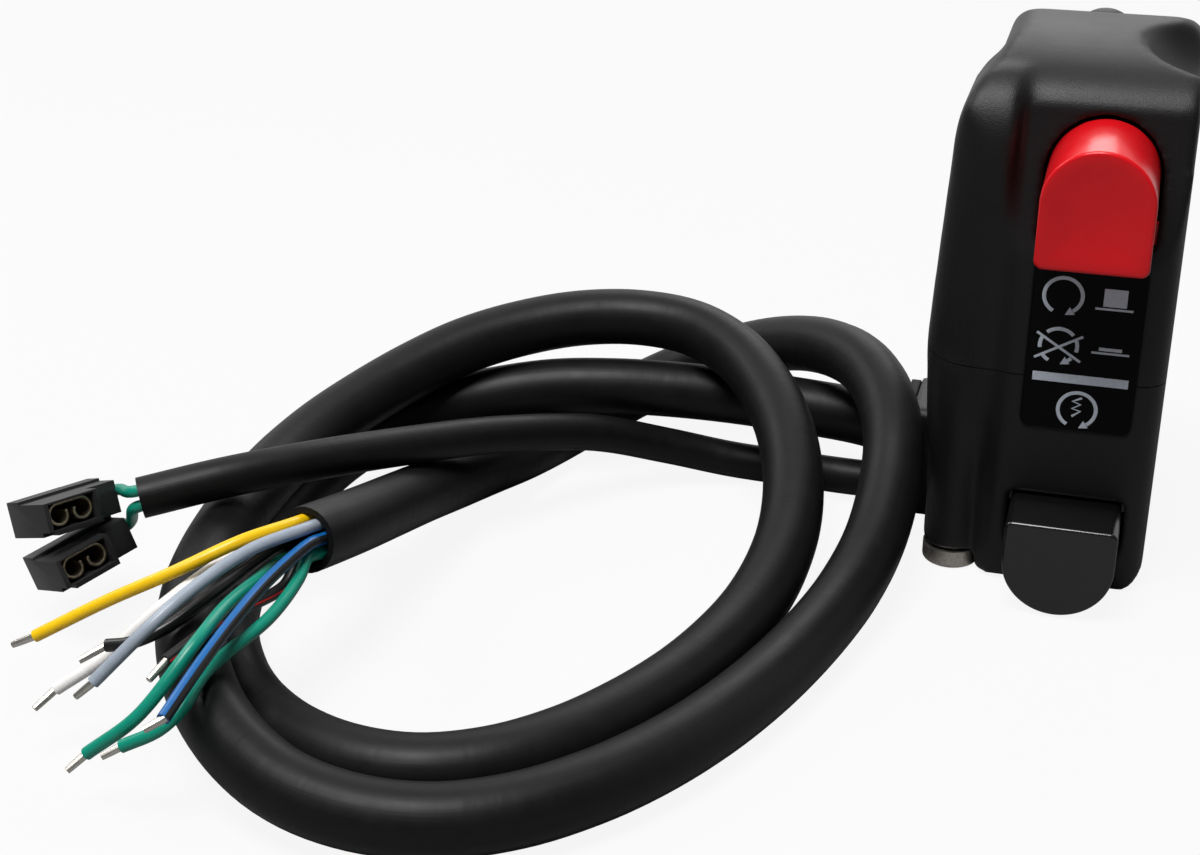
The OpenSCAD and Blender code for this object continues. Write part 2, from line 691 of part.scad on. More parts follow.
module inner_leads() {
    stop_tail = [controls_x - contact_x, stop_base_back + tail_l, stop_z];
    start_tail = [controls_x - contact_x, start_base_back + tail_l, start_mid];
    color("#2d2d30") {
        tube(inner_lead(stop_tail, STOP_LEAD, loom_exit + [-1.8, 1]), wire_d / 2, 8);
        tube(inner_lead(start_tail, START_LEAD, loom_exit + [1.6, -1]), wire_d / 2, 8);
    }
}

module cable_grommet() {
    inset = 0.3;
    color("#19191a") difference() {
        along_x(outlet_end - grommet_t, outlet_end - seat_fit)
            rounded(outlet_y[0] + inset, outlet_y[1] - inset, table_z + inset, outlet_top - inset, outlet_r);
        rod_x(loom_exit[0], loom_exit[1], loom_d / 2 + cable_fit, outlet_end - 2 * grommet_t, outlet_end);
        rod_x(lead_exit[0], lead_exit[1], lead_d / 2 + cable_fit, outlet_end - 2 * grommet_t, outlet_end);
    }
}

// A tie around the loom inside the case, with its lock
module cable_tie() {
    lock = [3, 2.2, tie_w];
    r = loom_d / 2;
    color("#e8e6df") translate([tie_x, loom_exit[0], loom_exit[1]]) rotate([0, 90, 0]) difference() {
        union() {
            cylinder(r = r + tie_t, h = tie_w);
            translate([-lock[0] / 2, r - tie_t, 0]) cube(lock);
        }
        translate([0, 0, -past]) cylinder(r = r + seat_fit, h = tie_w + 2 * past);
    }
}

module loom_sheath() {
    color("#141415") tube(loom_path, loom_d / 2, 12);
}

module lead_sheath() {
    color("#141415") tube(lead_path, lead_d / 2, 10);
}

// Frame at the cut end of the loom, where the wires start
loom_end = last(loom_path);
loom_way = tangent(loom_path, len(loom_path) - 1);
loom_across = unit(cross(loom_way, [0, 0, 1]));
loom_up = cross(loom_across, loom_way);
function wire_start(i) = loom_end + seat_fit * loom_way
    + wire_ring_r * (cos(WIRE_ANGLES[i]) * loom_across + sin(WIRE_ANGLES[i]) * loom_up);
function wire_path(i) = concat([wire_start(i), wire_start(i) + 1.5 * wire_d * loom_way], on_table(WIRE_ROUTES[i]));
function all_but_last(p) = [for (k = [0 : len(p) - 2]) p[k]];

module loom_wire(i) {
    tube(all_but_last(wire_path(i)), wire_d / 2, 8);
}

module yellow_wire() { color("#f2b705") loom_wire(0); }
module grey_wire() { color("#8f949c") loom_wire(1); }
module white_wire() { color("#e9e9e4") loom_wire(2); }
module black_wire() { color("#161617") loom_wire(3); }
module black_red_wire() { color("#3a1012") loom_wire(4); }
module green_wire() { color("#0d8a62") loom_wire(5); }
module green_wire_lower() { color("#0d8a62") loom_wire(6); }
module blue_wire() { color("#1460b8") loom_wire(7); }

module tinned_ends() {
    color("#c9cbcf") for (i = [0 : len(WIRE_ROUTES) - 1]) {
        p = wire_path(i);
        way = unit(p[len(p) - 1] - p[len(p) - 2]);
        tube([p[len(p) - 2] + seat_fit * way + 0.2 * way, last(p)], core_d / 2, 8);
    }
}

// A connector lies across its wire's way, with its socket on the rider's side
module place_connector(at, turn) {
    translate([at[0], at[1], table_z + at[2]]) rotate(turn) children();
}

curl_r = (spade_w + 1) / 4;
curl_x = curl_r + 0.1;
curl_turn = 200;
terminal_t = 0.4;
socket_l = 2 * (curl_x + curl_r) + 0.1;
socket_h = 2 * curl_r + 0.3;
socket_wall = 0.7;
connector_l = socket_l + 2 * socket_wall;
connector_h = socket_h + 2 * socket_wall - 0.2;
// The tail stands back from the socket's face and takes the wire in its end
tail_back = 2.6;
tail_y = -connector_w / 2 + tail_back + 1.7;
tail_z = 0.4;

module connector() {
    r = 0.5;
    difference() {
        union() {
            along_y(-connector_w / 2, connector_w / 2)
                rounded(-connector_l / 2, connector_l / 2, -connector_h / 2, connector_h / 2, r);
            along_x(0, connector_l / 2 + connector_tail)
                rounded(-connector_w / 2 + tail_back, connector_w / 2, -connector_h / 2, connector_h / 2, r);
        }
        block(-socket_l / 2, socket_l / 2, -connector_w / 2 - past, connector_w / 2 - socket_wall,
            -socket_h / 2, socket_h / 2);
        rod_x(tail_y, tail_z, wire_d / 2 + cable_fit, connector_l / 2 + past,
            connector_l / 2 + connector_tail + past);
    }
}

// A curled receptacle: a flat with two edges rolled under it
module receptacle() {
    outer = [curl_r, curl_r];
    inner = [curl_r - terminal_t, curl_r - terminal_t];
    z = socket_h / 2 - seat_fit - curl_r;
    color("#b8a878") along_y(-connector_w / 2 + 0.6, connector_w / 2 - socket_wall - 0.3) polygon(concat(
        arc([curl_x, z], outer, 90, -curl_turn, 16),
        arc([curl_x, z], inner, -curl_turn, 90, 16),
        arc([-curl_x, z], inner, 90, 180 + curl_turn, 16),
        arc([-curl_x, z], outer, 180 + curl_turn, 90, 16)));
}

module connector_upper() { color("#1a1a1c") place_connector(CONNECTOR_UPPER, UPPER_TURN) connector(); }
module connector_lower() { color("#1a1a1c") place_connector(CONNECTOR_LOWER, LOWER_TURN) connector(); }
module receptacle_upper() { place_connector(CONNECTOR_UPPER, UPPER_TURN) receptacle(); }
module receptacle_lower() { place_connector(CONNECTOR_LOWER, LOWER_TURN) receptacle(); }

// The lead's two wires, from its end into the connectors
lead_way = tangent(lead_path, len(lead_path) - 1);
lead_across = unit(cross(lead_way, [0, 0, 1]));
lead_up = cross(lead_across, lead_way);
function turned(v, a) =
    let (x = [v[0], v[1] * cos(a[0]) - v[2] * sin(a[0]), v[1] * sin(a[0]) + v[2] * cos(a[0])],
        y = [x[0] * cos(a[1]) + x[2] * sin(a[1]), x[1], -x[0] * sin(a[1]) + x[2] * cos(a[1])])
    [y[0] * cos(a[2]) - y[1] * sin(a[2]), y[0] * sin(a[2]) + y[1] * cos(a[2]), y[2]];
function entry(at, turn, out) = [at[0], at[1], table_z + at[2]]
    + turned([connector_l / 2 + connector_tail + out, tail_y, tail_z], turn);
function lead_wire(rise, at, turn) =
    let (from = last(lead_path) + seat_fit * lead_way + rise * lead_up)
    [from, from + 0.8 * wire_d * lead_way, entry(at, turn, 1.2 * wire_d), entry(at, turn, -connector_tail / 2)];

module lead_wires() {
    color("#0d8a62") {
        tube(lead_wire(wire_d * 0.7, CONNECTOR_UPPER, UPPER_TURN), wire_d / 2, 8);
        tube(lead_wire(-wire_d * 0.7, CONNECTOR_LOWER, LOWER_TURN), wire_d / 2, 8);
    }
}

upper_housing();
lower_housing();
legend_plate();
clamp_screws();
screw_inserts();
stop_button();
stop_plunger();
stop_bridge();
stop_spring();
stop_switch_base();
stop_contacts();
stop_latch();
stop_latch_pin();
start_button();
start_plunger();
start_bridge();
start_spring();
start_switch_base();
start_contacts();
inner_leads();
cable_grommet();
cable_tie();
loom_sheath();
lead_sheath();
yellow_wire();
grey_wire();
white_wire();
black_wire();
black_red_wire();
green_wire();
green_wire_lower();
blue_wire();
tinned_ends();
lead_wires();
connector_upper();
connector_lower();
receptacle_upper();
receptacle_lower();
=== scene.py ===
"""Looks of a handlebar switch cluster: a clamped case, its buttons, its cables and their ends."""

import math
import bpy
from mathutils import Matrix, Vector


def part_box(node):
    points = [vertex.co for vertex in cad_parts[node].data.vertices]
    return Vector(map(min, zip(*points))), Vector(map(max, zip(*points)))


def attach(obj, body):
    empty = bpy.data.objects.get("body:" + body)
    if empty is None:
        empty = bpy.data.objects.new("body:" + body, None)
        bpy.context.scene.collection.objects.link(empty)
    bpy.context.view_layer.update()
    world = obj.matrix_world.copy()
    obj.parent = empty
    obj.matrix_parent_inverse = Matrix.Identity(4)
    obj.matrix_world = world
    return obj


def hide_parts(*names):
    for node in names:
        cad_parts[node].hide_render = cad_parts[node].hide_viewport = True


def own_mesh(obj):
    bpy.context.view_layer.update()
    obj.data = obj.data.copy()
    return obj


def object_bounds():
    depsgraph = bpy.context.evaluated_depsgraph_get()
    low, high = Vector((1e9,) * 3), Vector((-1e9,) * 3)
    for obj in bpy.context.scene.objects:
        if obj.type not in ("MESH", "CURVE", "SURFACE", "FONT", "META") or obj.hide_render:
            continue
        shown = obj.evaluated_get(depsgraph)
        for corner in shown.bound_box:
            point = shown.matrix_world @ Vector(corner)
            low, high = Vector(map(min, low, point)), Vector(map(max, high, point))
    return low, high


bl_info = {
    "name": "Handlebar Switch Cluster",
    "version": (1, 0, 0),
    "blender": (4, 5, 0),
    "location": "View3D > Sidebar > Switch",
    "description": "Dresses the packed switch cluster with its mouldings, cables and finishes",
    "category": "Object",
}

from contextlib import contextmanager

import bmesh
import bpy
from bpy.props import FloatProperty, FloatVectorProperty, PointerProperty
from bpy.types import Operator, Panel, PropertyGroup
from mathutils import Euler, Matrix, Vector
from mathutils.geometry import interpolate_bezier

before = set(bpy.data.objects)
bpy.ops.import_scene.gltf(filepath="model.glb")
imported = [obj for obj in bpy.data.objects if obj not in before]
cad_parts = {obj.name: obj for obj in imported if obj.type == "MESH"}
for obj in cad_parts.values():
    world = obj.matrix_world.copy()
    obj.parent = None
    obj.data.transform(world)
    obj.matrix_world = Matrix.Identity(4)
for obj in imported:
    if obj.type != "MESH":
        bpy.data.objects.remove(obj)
CAD_BOX = [list(corner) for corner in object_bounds()]

MM = 0.001
# Distances in metres below which two vertices are one, and a vertex lies on a plane
WELD = 0.000002
NEAR = 0.00001
# The surface that the case and the cables stand on, in millimetres
TABLE = -28.5
CASE_BODY = "housing"
# Front and top of the case, and half of the gap between its two solids, in metres
CASE_FRONT = -19.5 * MM
CASE_TOP = 38.5 * MM
HALF_GAP = 0.0002
# Middle of the buttons across the case, in millimetres
CONTROLS_X = 0.4
# Return springs: radius, height of the axis and travel of the button, in millimetres
SPRINGS = {"stop": (3.3, 24.1, 4.5), "start": (2.7, -21.5, 2.5)}
SPRING_TURNS = 6
SPRING_STEPS = 24

# The photograph's camera: place in metres, turn and fall in degrees, lens and sensor in millimetres
CAMERA_AT = (0.0042, -0.2430, 0.0945)
CAMERA_TURN = 16
CAMERA_FALL = 25
CAMERA_LENS = 58.5
CAMERA_SENSOR = 36
# Place and diameter of each lamp, and the spot that all of them face, in metres
LAMPS = {
    "key": ((-0.12, -0.26, 0.70), 0.38),
    "side": ((-0.62, 0.10, 0.50), 0.30),
    "back": ((-0.05, 0.70, 0.50), 0.40),
}
LIT_SPOT = Vector((-0.045, -0.035, 0))

# Routes of the cables: across, away, and above the table, in millimetres
LOOM = [
    (-8.6, 1.5, 10.1), (-16, 1.5, 10.1), (-23, 1.5, 10.1), (-30, 3, 10.3), (-38.3, 2.8, 10.9),
    (-46.6, 1.9, 11.6), (-54.7, 0.2, 12.3), (-62.9, -1.8, 12.7), (-71.1, -3.9, 12.5), (-79, -6.5, 11.4),
    (-86.4, -10, 10), (-92.2, -15.3, 8.5), (-96, -22.3, 6.9), (-98, -30.3, 5.6), (-98.6, -38.7, 4.7),
    (-98, -47.1, 4.2), (-96.3, -55.4, 4), (-93.5, -63.3, 4), (-89.3, -70.7, 4), (-83.9, -77.2, 4),
    (-77.1, -82.2, 4), (-69.4, -84.9, 4), (-61.5, -84.7, 4), (-54.2, -81.3, 4), (-48.1, -75.6, 4),
    (-43.3, -68.6, 4), (-39.4, -61, 4.1), (-36.4, -53.1, 4.4), (-34.1, -45, 5.2), (-32.7, -36.9, 6.8),
    (-32.5, -28.9, 9), (-33.7, -21.1, 11.8), (-36.4, -13.6, 14.8), (-40.6, -6.7, 17.5),
    (-46.1, -0.8, 19.5), (-53, 3.1, 20.7), (-60.8, 3.8, 21.1), (-68.7, 1.6, 21), (-76.1, -2.4, 20.2),
    (-82.6, -7.8, 19), (-87.9, -14.1, 17.3), (-92.2, -21.2, 15.6), (-95.4, -28.8, 14.2),
    (-97.2, -36.8, 13.1), (-97.6, -45.1, 12.4), (-97, -53.5, 12.2), (-95.6, -61.9, 12),
    (-93.4, -70, 11.7), (-90.1, -77.7, 10.8), (-85.5, -84.5, 9.2), (-79.4, -89.9, 7.3),
    (-72.1, -93.4, 5.7), (-64, -94.4, 4.8), (-56, -92.9, 4.4), (-48.8, -88.9, 4.3), (-42.7, -83.1, 4.3),
    (-37.8, -76.3, 4.2), (-33.8, -68.8, 4.1), (-30.5, -61, 4.1), (-27.8, -53.1, 4.2), (-25.4, -45, 4.7),
    (-23.4, -37, 5.8), (-21.9, -29.1, 8.1), (-21.4, -21.5, 11.6), (-22.1, -14.1, 15.5),
    (-24.6, -6.9, 18.4), (-28.9, -0.2, 19.7), (-34.8, 5.7, 19), (-41.4, 10.7, 16.6), (-48.5, 14, 13.3),
    (-55.6, 14.7, 9.8), (-62.2, 12, 6.7), (-67.3, 6.3, 4.7), (-71, -1.2, 4), (-73.9, -9.2, 4.4),
    (-76.5, -16.8, 5.4), (-78.3, -24.9, 7), (-79.5, -33.6, 9.2), (-80.1, -43.3, 11.9),
    (-80.5, -52, 14.4), (-81.1, -59.1, 16.4), (-82, -64.1, 17.6),
]
LEAD = [
    (-8.6, -2, 3.3), (-16, -2, 3.3), (-23, -2, 3.3), (-30, -1.5, 3), (-38, -0.5, 2.7), (-46, -1, 3.2),
    (-54.5, -4.5, 5.8), (-63, -11.5, 9.8), (-72.8, -23.1, 13.5), (-81.4, -35.4, 16.3), (-89.3, -46.9, 18.5),
    (-97, -54.5, 18.8), (-105.2, -59.6, 17.5),
]
# Wires of the loom: angle in its cut end, and the route to the bare tip
WIRES = {
    "yellow_wire": (75, [(-86.1, -71.7, 20.8), (-92.1, -76.4, 18.5), (-99.2, -78.7, 15.1),
                         (-107.4, -81.2, 10.6), (-110, -81.8, 9.4)]),
    "grey_wire": (120, [(-84.7, -72.5, 20.3), (-88, -79.5, 18.9), (-90.6, -84.6, 16.8),
                        (-95.9, -88.8, 11.2), (-97.7, -89.6, 9.6)]),
    "white_wire": (30, [(-88, -71.4, 18.2), (-92.7, -78.9, 15.4), (-97.9, -82.9, 10.5),
                        (-102.7, -85.6, 7.2), (-104, -88.1, 6)]),
    "black_wire": (345, [(-86.2, -70.1, 16.8), (-88.1, -77.3, 16.1), (-90.8, -82, 14.7),
                         (-93.9, -84, 13.6), (-96.5, -84.4, 13.1), (-98.7, -86.6, 12.1)]),
    "black_red_wire": (255, [(-82.2, -69.8, 14.7), (-85.4, -78.2, 14.8), (-87.7, -87.6, 14.5),
                             (-88.4, -90.1, 13.6)]),
    "green_wire": (300, [(-83.8, -70.4, 16.6), (-84.5, -79.1, 17.1), (-84.4, -87.4, 16.8),
                         (-88.1, -93.4, 11.4), (-93.8, -94.9, 6.6), (-95.2, -96.7, 5.4)]),
    "green_wire_lower": (210, [(-80.2, -70.1, 16.2), (-80.4, -77.4, 15.3), (-83.5, -86.8, 13.5),
                               (-83.5, -92.4, 12.5), (-85.1, -94.6, 11), (-89, -95.8, 9),
                               (-90.7, -97, 8.2)]),
    "blue_wire": (165, [(-81.7, -74.2, 18.1), (-82.1, -82.4, 17.5), (-82.4, -90.4, 16.3),
                        (-83, -97.2, 14.3), (-84.5, -98.6, 13.6)]),
}
WIRE_RING = 2.3
# Place above the table and turn of each connector
CONNECTORS = {
    "upper": ((-115.8, -61.4, 15), (-20, 4, 63)),
    "lower": ((-113.3, -63.2, 9.7), (-20, -8, 63)),
}
# A connector across, through and up, and its stepped-back tail
CONNECTOR = Vector((7.3, 8.6, 4.4))
SOCKET = Vector((6.1, 8.1, 3.2))
TAIL = 4
TAIL_BACK = 2.6
TAIL_ENTRY = Vector((CONNECTOR.x / 2 + TAIL, -CONNECTOR.y / 2 + TAIL_BACK + 1.7, 0.4))
# Wires inside the case, from a contact's tail to the loom, in the case's own frame
INNER_LEADS = [
    [(-2.6, 9.03, 24.1), (-2.6, 9.9, 24.1), (-4.4, 10.1, 24.1), (-8.7, 7.5, 22), (-8.7, 0, 20),
     (-8.7, -10, 17), (-7.9, -14.8, 11), (-7.8, -15.4, 0), (-7.8, -14.8, -11), (-7.4, -9, -16.5),
     (-7.2, -4, -17.6), (-7.4, -0.3, -17.4), (-8.57, -0.3, -17.4)],
    [(-2.6, 7.53, -21.5), (-2.6, 8.4, -21.5), (-4.4, 8.6, -21.5), (-6.6, 7, -20.6), (-7.4, 3.1, -19.4),
     (-8.57, 3.1, -19.4)],
]


def tint(name, description, default):
    """A colour that a user may change"""
    return FloatVectorProperty(name=name, description=description, default=default, subtype="COLOR",
                               size=3, min=0, max=1)


def length(name, description, default):
    """A length that a user may change, in metres"""
    return FloatProperty(name=name, description=description, default=default, subtype="DISTANCE",
                         unit="LENGTH", min=0, precision=5)


def power(name, description, default):
    """A lamp's power that a user may change"""
    return FloatProperty(name=name, description=description, default=default, min=0, unit="POWER")


class SwitchColours(PropertyGroup):
    """Colours of the switch cluster"""
    case: tint("Case", "Moulded case", (0.0052, 0.0052, 0.0056))
    legend: tint("Legend plate", "Gloss plate between the buttons", (0.0022, 0.0022, 0.0024))
    marks: tint("Legend marks", "Printed marks on the plate", (0.56, 0.61, 0.69))
    stop: tint("Stop button", "Red button", (0.70, 0.007, 0.012))
    start: tint("Start button", "Black button", (0.004, 0.004, 0.0042))
    sheath: tint("Sheaths", "Sheath of both cables", (0.0050, 0.0050, 0.0054))
    yellow: tint("Yellow wire", "Insulation", (1.0, 0.58, 0.004))
    grey: tint("Grey wire", "Insulation", (0.34, 0.39, 0.46))
    white: tint("White wire", "Insulation", (0.92, 0.89, 0.87))
    black: tint("Black wire", "Insulation", (0.010, 0.010, 0.011))
    red: tint("Red line", "Line along the black wire", (0.55, 0.02, 0.02))
    green: tint("Green wires", "Insulation", (0.002, 0.27, 0.18))
    blue: tint("Blue wire", "Insulation", (0.005, 0.12, 0.38))
    connector: tint("Connectors", "Moulded connectors", (0.020, 0.020, 0.021))


class SwitchSizes(PropertyGroup):
    """Sizes of the dressed pieces"""
    loom_d: length("Loom", "Diameter of the loom", 0.0078)
    lead_d: length("Lead", "Diameter of the lead", 0.005)
    sheath_wall: length("Sheath wall", "Wall that shows at a cable's cut end", 0.00075)
    wire_d: length("Wire", "Diameter of an insulated wire", 0.00145)
    core_d: length("Core", "Diameter of a tinned wire end", 0.0009)
    mould_voxel: length("Moulding detail", "Finest detail of the moulded case", 0.0004)
    parting: length("Parting line", "Width of the line between the case's halves", 0.00012)
    crown_edge: length("Crown edge", "Rounding of the case's front top edge", 0.0085)
    button_edge: length("Button edge", "Rounding of a button's front rim", 0.00042)
    stop_dish: length("Stop dish", "Depth of the stop button's hollow face", 0.0003)
    start_dish: length("Start dish", "Depth of the start button's hollow face", 0.0007)
    mark_w: length("Mark width", "Width of a printed line", 0.00045)
    spring_wire: length("Spring wire", "Diameter of the spring wire", 0.0007)


class SwitchStage(PropertyGroup):
    """Light and floor around the switch cluster"""
    floor: tint("Floor", "Pale floor", (0.28, 0.28, 0.28))
    sky: FloatProperty(name="Sky", description="Light from all around", default=0.10, min=0)
    mirrored: FloatProperty(name="Mirrored backdrop", default=0.85, min=0, max=1, subtype="FACTOR",
                            description="Share of the pale backdrop in reflections")
    key: power("Key lamp", "Power of the lamp above", 6.2)
    side: power("Side lamp", "Power of the lamp at the left", 1.4)
    back: power("Back lamp", "Power of the lamp behind", 1.2)


class Value:
    """A socket of a finish, so that sums on it are written as sums"""

    def __init__(self, finish, socket):
        self.finish = finish
        self.socket = socket

    def _sum(self, operation, first, second):
        return self.finish.add("ShaderNodeMath", {"operation": operation}, {0: first, 1: second})

    def __add__(self, other):
        return self._sum("ADD", self, other)

    def __radd__(self, other):
        return self._sum("ADD", other, self)

    def __sub__(self, other):
        return self._sum("SUBTRACT", self, other)

    def __rsub__(self, other):
        return self._sum("SUBTRACT", other, self)

    def __mul__(self, other):
        return self._sum("MULTIPLY", self, other)

    def __rmul__(self, other):
        return self._sum("MULTIPLY", other, self)

    def __pow__(self, other):
        return self._sum("POWER", self, other)

    def __gt__(self, other):
        return self._sum("GREATER_THAN", self, other)

    def __lt__(self, other):
        return self._sum("LESS_THAN", self, other)


class Nodes:
    """A node tree, and the one way that its nodes are added"""

    def __init__(self, tree):
        self.tree = tree

    def add(self, kind, settings=None, inputs=None, output=0):
        node = self.tree.nodes.new(kind)
        for key, value in (settings or {}).items():
            setattr(node, key, value)
        for key, value in (inputs or {}).items():
            self.feed(node.inputs[key], value)
        return Value(self, node.outputs[output])

    def feed(self, socket, value):
        if isinstance(value, Value):
            self.tree.links.new(value.socket, socket)
        elif socket.type == "RGBA":
            socket.default_value = (*value, 1)
        else:
            socket.default_value = value

    def background_rays(self, mirrored):
        """1 where the background is seen straight or through glass, and a share where it is mirrored"""
        straight, glossy, through = [self.add("ShaderNodeLightPath", output=f"Is {ray} Ray")
                                     for ray in ("Camera", "Glossy", "Transmission")]
        return straight + mirrored * glossy + through


class Finish(Nodes):
    """A procedural material around one Principled shader"""

    def __init__(self, name, colour, roughness, **constants):
        self.material = bpy.data.materials.new(name)
        self.material.use_nodes = True
        super().__init__(self.material.node_tree)
        self.shader = self.tree.nodes["Principled BSDF"]
        self.shader.inputs["Base Color"].default_value = (*colour, 1)
        self.shader.inputs["Roughness"].default_value = roughness
        self.material.diffuse_color = (*colour, 1)
        for socket, value in constants.items():
            self.shader.inputs[socket.replace("_", " ").title().replace("Ior", "IOR")].default_value = value

    def paint(self, **inputs):
        for name, value in inputs.items():
            self.feed(self.shader.inputs[name.replace("_", " ").title()], value)
        return self.material

    def place(self):
        return self.add("ShaderNodeTexCoord", output="Object")

    def sleeve(self, around, along):
        """Place on a cord: turns of the circle around it, and millimetres along it"""
        spot = self.add("ShaderNodeAttribute", {"attribute_name": "sleeve"}, output="Vector")
        return self.add("ShaderNodeVectorMath", {"operation": "MULTIPLY"},
                        {0: spot, 1: (around, around, along)})

    def side(self, axis):
        """Which way around a cord a point looks, from -1 to 1"""
        spot = self.add("ShaderNodeAttribute", {"attribute_name": "sleeve"}, output="Vector")
        return self.add("ShaderNodeSeparateXYZ", None, {0: spot}, axis)

    def noise(self, scale, detail=2.0, vector=None):
        return self.add("ShaderNodeTexNoise", None,
                        {"Vector": vector or self.place(), "Scale": scale, "Detail": detail})

    def mix(self, factor, first, second):
        return self.add("ShaderNodeMix", {"data_type": "RGBA"}, {0: factor, 6: first, 7: second}, 2)

    def bump(self, height, strength, distance):
        return self.add("ShaderNodeBump", None,
                        {"Strength": strength, "Distance": distance, "Height": height})


def shade(colour, by):
    """A colour made darker or lighter"""
    return tuple(min(1, channel * by) for channel in colour)


def moulded_plastic(name, colour, roughness, grain, depth, strength=0.25, gloss=0.5):
    """Moulded plastic: a fine spark grain, slow changes of sheen and a little dust"""
    fin = Finish(name, colour, roughness, specular_ior_level=gloss)
    cloud = fin.noise(90, 3)
    fine = fin.noise(grain, 2)
    return fin.paint(base_color=fin.mix(cloud, shade(colour, 0.8), shade(colour, 1.22)),
                     roughness=roughness - 0.06 + 0.12 * cloud + 0.08 * (fine - 0.5),
                     normal=fin.bump(fine + 0.35 * fin.noise(grain * 0.37, 1), strength, depth))


def cord_sheath(name, colour, roughness=0.44):
    """Soft sheath: draw lines along it, fine cross wrinkles and scuffs"""
    fin = Finish(name, colour, roughness, specular_ior_level=0.22)
    lines = fin.noise(1, 3, fin.sleeve(5.5, 0.05))
    wrinkle = fin.noise(1, 2, fin.sleeve(0.9, 0.85))
    scuff = fin.noise(420, 4)
    return fin.paint(base_color=fin.mix(scuff, shade(colour, 0.75), shade(colour, 1.4)),
                     roughness=roughness - 0.12 + 0.14 * lines + 0.14 * scuff,
                     normal=fin.bump(0.5 * lines + 0.9 * wrinkle + 0.25 * scuff, 0.35, 0.00012))


def wire_jacket(name, colour, line=None, reach=0.0):
    """Wire insulation, plain or with a second colour along one side"""
    fin = Finish(name, colour, 0.32, specular_ior_level=0.45)
    cloud = fin.noise(700, 3)
    body = fin.mix(cloud, shade(colour, 0.86), shade(colour, 1.1))
    if line:
        body = fin.mix(fin.side(0) > reach, body, line)
    draw = fin.noise(1, 2, fin.sleeve(4, 0.12))
    return fin.paint(base_color=body, roughness=0.24 + 0.12 * cloud + 0.06 * draw,
                     normal=fin.bump(draw + 0.4 * cloud, 0.1, 0.00003))


def bright_metal(name, colour, roughness, pits, depth):
    """Plated metal with pits and a cloudy sheen"""
    fin = Finish(name, colour, roughness, metallic=1.0)
    cloud = fin.noise(pits * 0.25, 3)
    spots = fin.noise(pits, 3)
    return fin.paint(base_color=fin.mix(spots, shade(colour, 0.55), shade(colour, 1.2)),
                     roughness=roughness - 0.1 + 0.2 * cloud,
                     normal=fin.bump(spots, 0.3, depth))


def strand_metal(name, colour):
    """Twisted strands under a skin of tin"""
    fin = Finish(name, colour, 0.34, metallic=1.0)
    lay = fin.noise(1, 1, fin.sleeve(3.2, 0.5))
    return fin.paint(base_color=fin.mix(lay, shade(colour, 0.62), shade(colour, 1.1)),
                     roughness=0.26 + 0.2 * lay, normal=fin.bump(lay, 0.3, 0.00006))


def gloss_plate(name, colour):
    """Gloss plate with hair scratches"""
    fin = Finish(name, colour, 0.12, specular_ior_level=0.06)
    hair = fin.noise(1, 2, fin.add("ShaderNodeVectorMath", {"operation": "MULTIPLY"},
                                   {0: fin.place(), 1: (4200, 4200, 220)}))
    smear = fin.noise(160, 3)
    return fin.paint(base_color=fin.mix(smear, shade(colour, 0.8), shade(colour, 1.3)),
                     roughness=0.07 + 0.08 * smear + 0.05 * hair, normal=fin.bump(hair, 0.05, 0.00002))


def printed_marks(name, colour):
    """Screen-printed ink, a little uneven"""
    fin = Finish(name, colour, 0.42)
    ink = fin.noise(2600, 3)
    return fin.paint(base_color=fin.mix(ink, shade(colour, 0.82), shade(colour, 1.12)),
                     roughness=0.36 + 0.12 * ink, normal=fin.bump(ink, 0.15, 0.00002))


def recipes():
    """How each finish is made"""
    c = bpy.context.scene.switch_colours
    return {
        "case_plastic": (moulded_plastic, c.case, 0.46, 6500, 0.00005, 0.6, 0.32),
        "legend_gloss": (gloss_plate, c.legend),
        "legend_marks": (printed_marks, c.marks),
        "stop_red": (moulded_plastic, c.stop, 0.22, 5200, 0.00003, 0.06, 0.3),
        "start_black": (moulded_plastic, c.start, 0.22, 4600, 0.00003, 0.1, 0.7),
        "sheath_pvc": (cord_sheath, c.sheath),
        "wire_yellow": (wire_jacket, c.yellow),
        "wire_grey": (wire_jacket, c.grey),
        "wire_white": (wire_jacket, c.white),
        "wire_black": (wire_jacket, c.black),
        "wire_black_red": (wire_jacket, c.black, c.red, 0.97),
        "wire_green": (wire_jacket, c.green),
        "wire_blue": (wire_jacket, c.blue, c.black, 0.8),
        "tinned_copper": (strand_metal, (0.72, 0.69, 0.63)),
        "connector_nylon": (moulded_plastic, c.connector, 0.34, 3800, 0.00004, 0.2, 0.3),
        "terminal_brass": (bright_metal, (0.62, 0.55, 0.42), 0.34, 2600, 0.00003),
        "screw_steel": (bright_metal, (0.62, 0.58, 0.53), 0.40, 2400, 0.00006),
        "spring_steel": (bright_metal, (0.55, 0.56, 0.58), 0.28, 1800, 0.00002),
        "contact_brass": (bright_metal, (0.68, 0.47, 0.17), 0.30, 1600, 0.00003),
        "plunger_plastic": (moulded_plastic, (0.74, 0.70, 0.60), 0.38, 2600, 0.00004, 0.2),
        "base_plastic": (moulded_plastic, (0.045, 0.043, 0.042), 0.5, 2800, 0.00005, 0.3),
        "grommet_rubber": (moulded_plastic, (0.006, 0.006, 0.006), 0.62, 2200, 0.00008, 0.4, 0.2),
        "tie_nylon": (moulded_plastic, (0.70, 0.68, 0.62), 0.36, 2400, 0.00003, 0.2),
    }


FINISHES = {}


def finish(name):
    """A finish by its name, made when it is first asked for"""
    if name not in FINISHES:
        make, *values = recipes()[name]
        FINISHES[name] = make(name, *values)
    return FINISHES[name]


def clear():
    """Leaves edit mode with nothing selected"""
    if bpy.context.object and bpy.context.object.mode != "OBJECT":
        bpy.ops.object.mode_set(mode="OBJECT")
    bpy.ops.object.select_all(action="DESELECT")


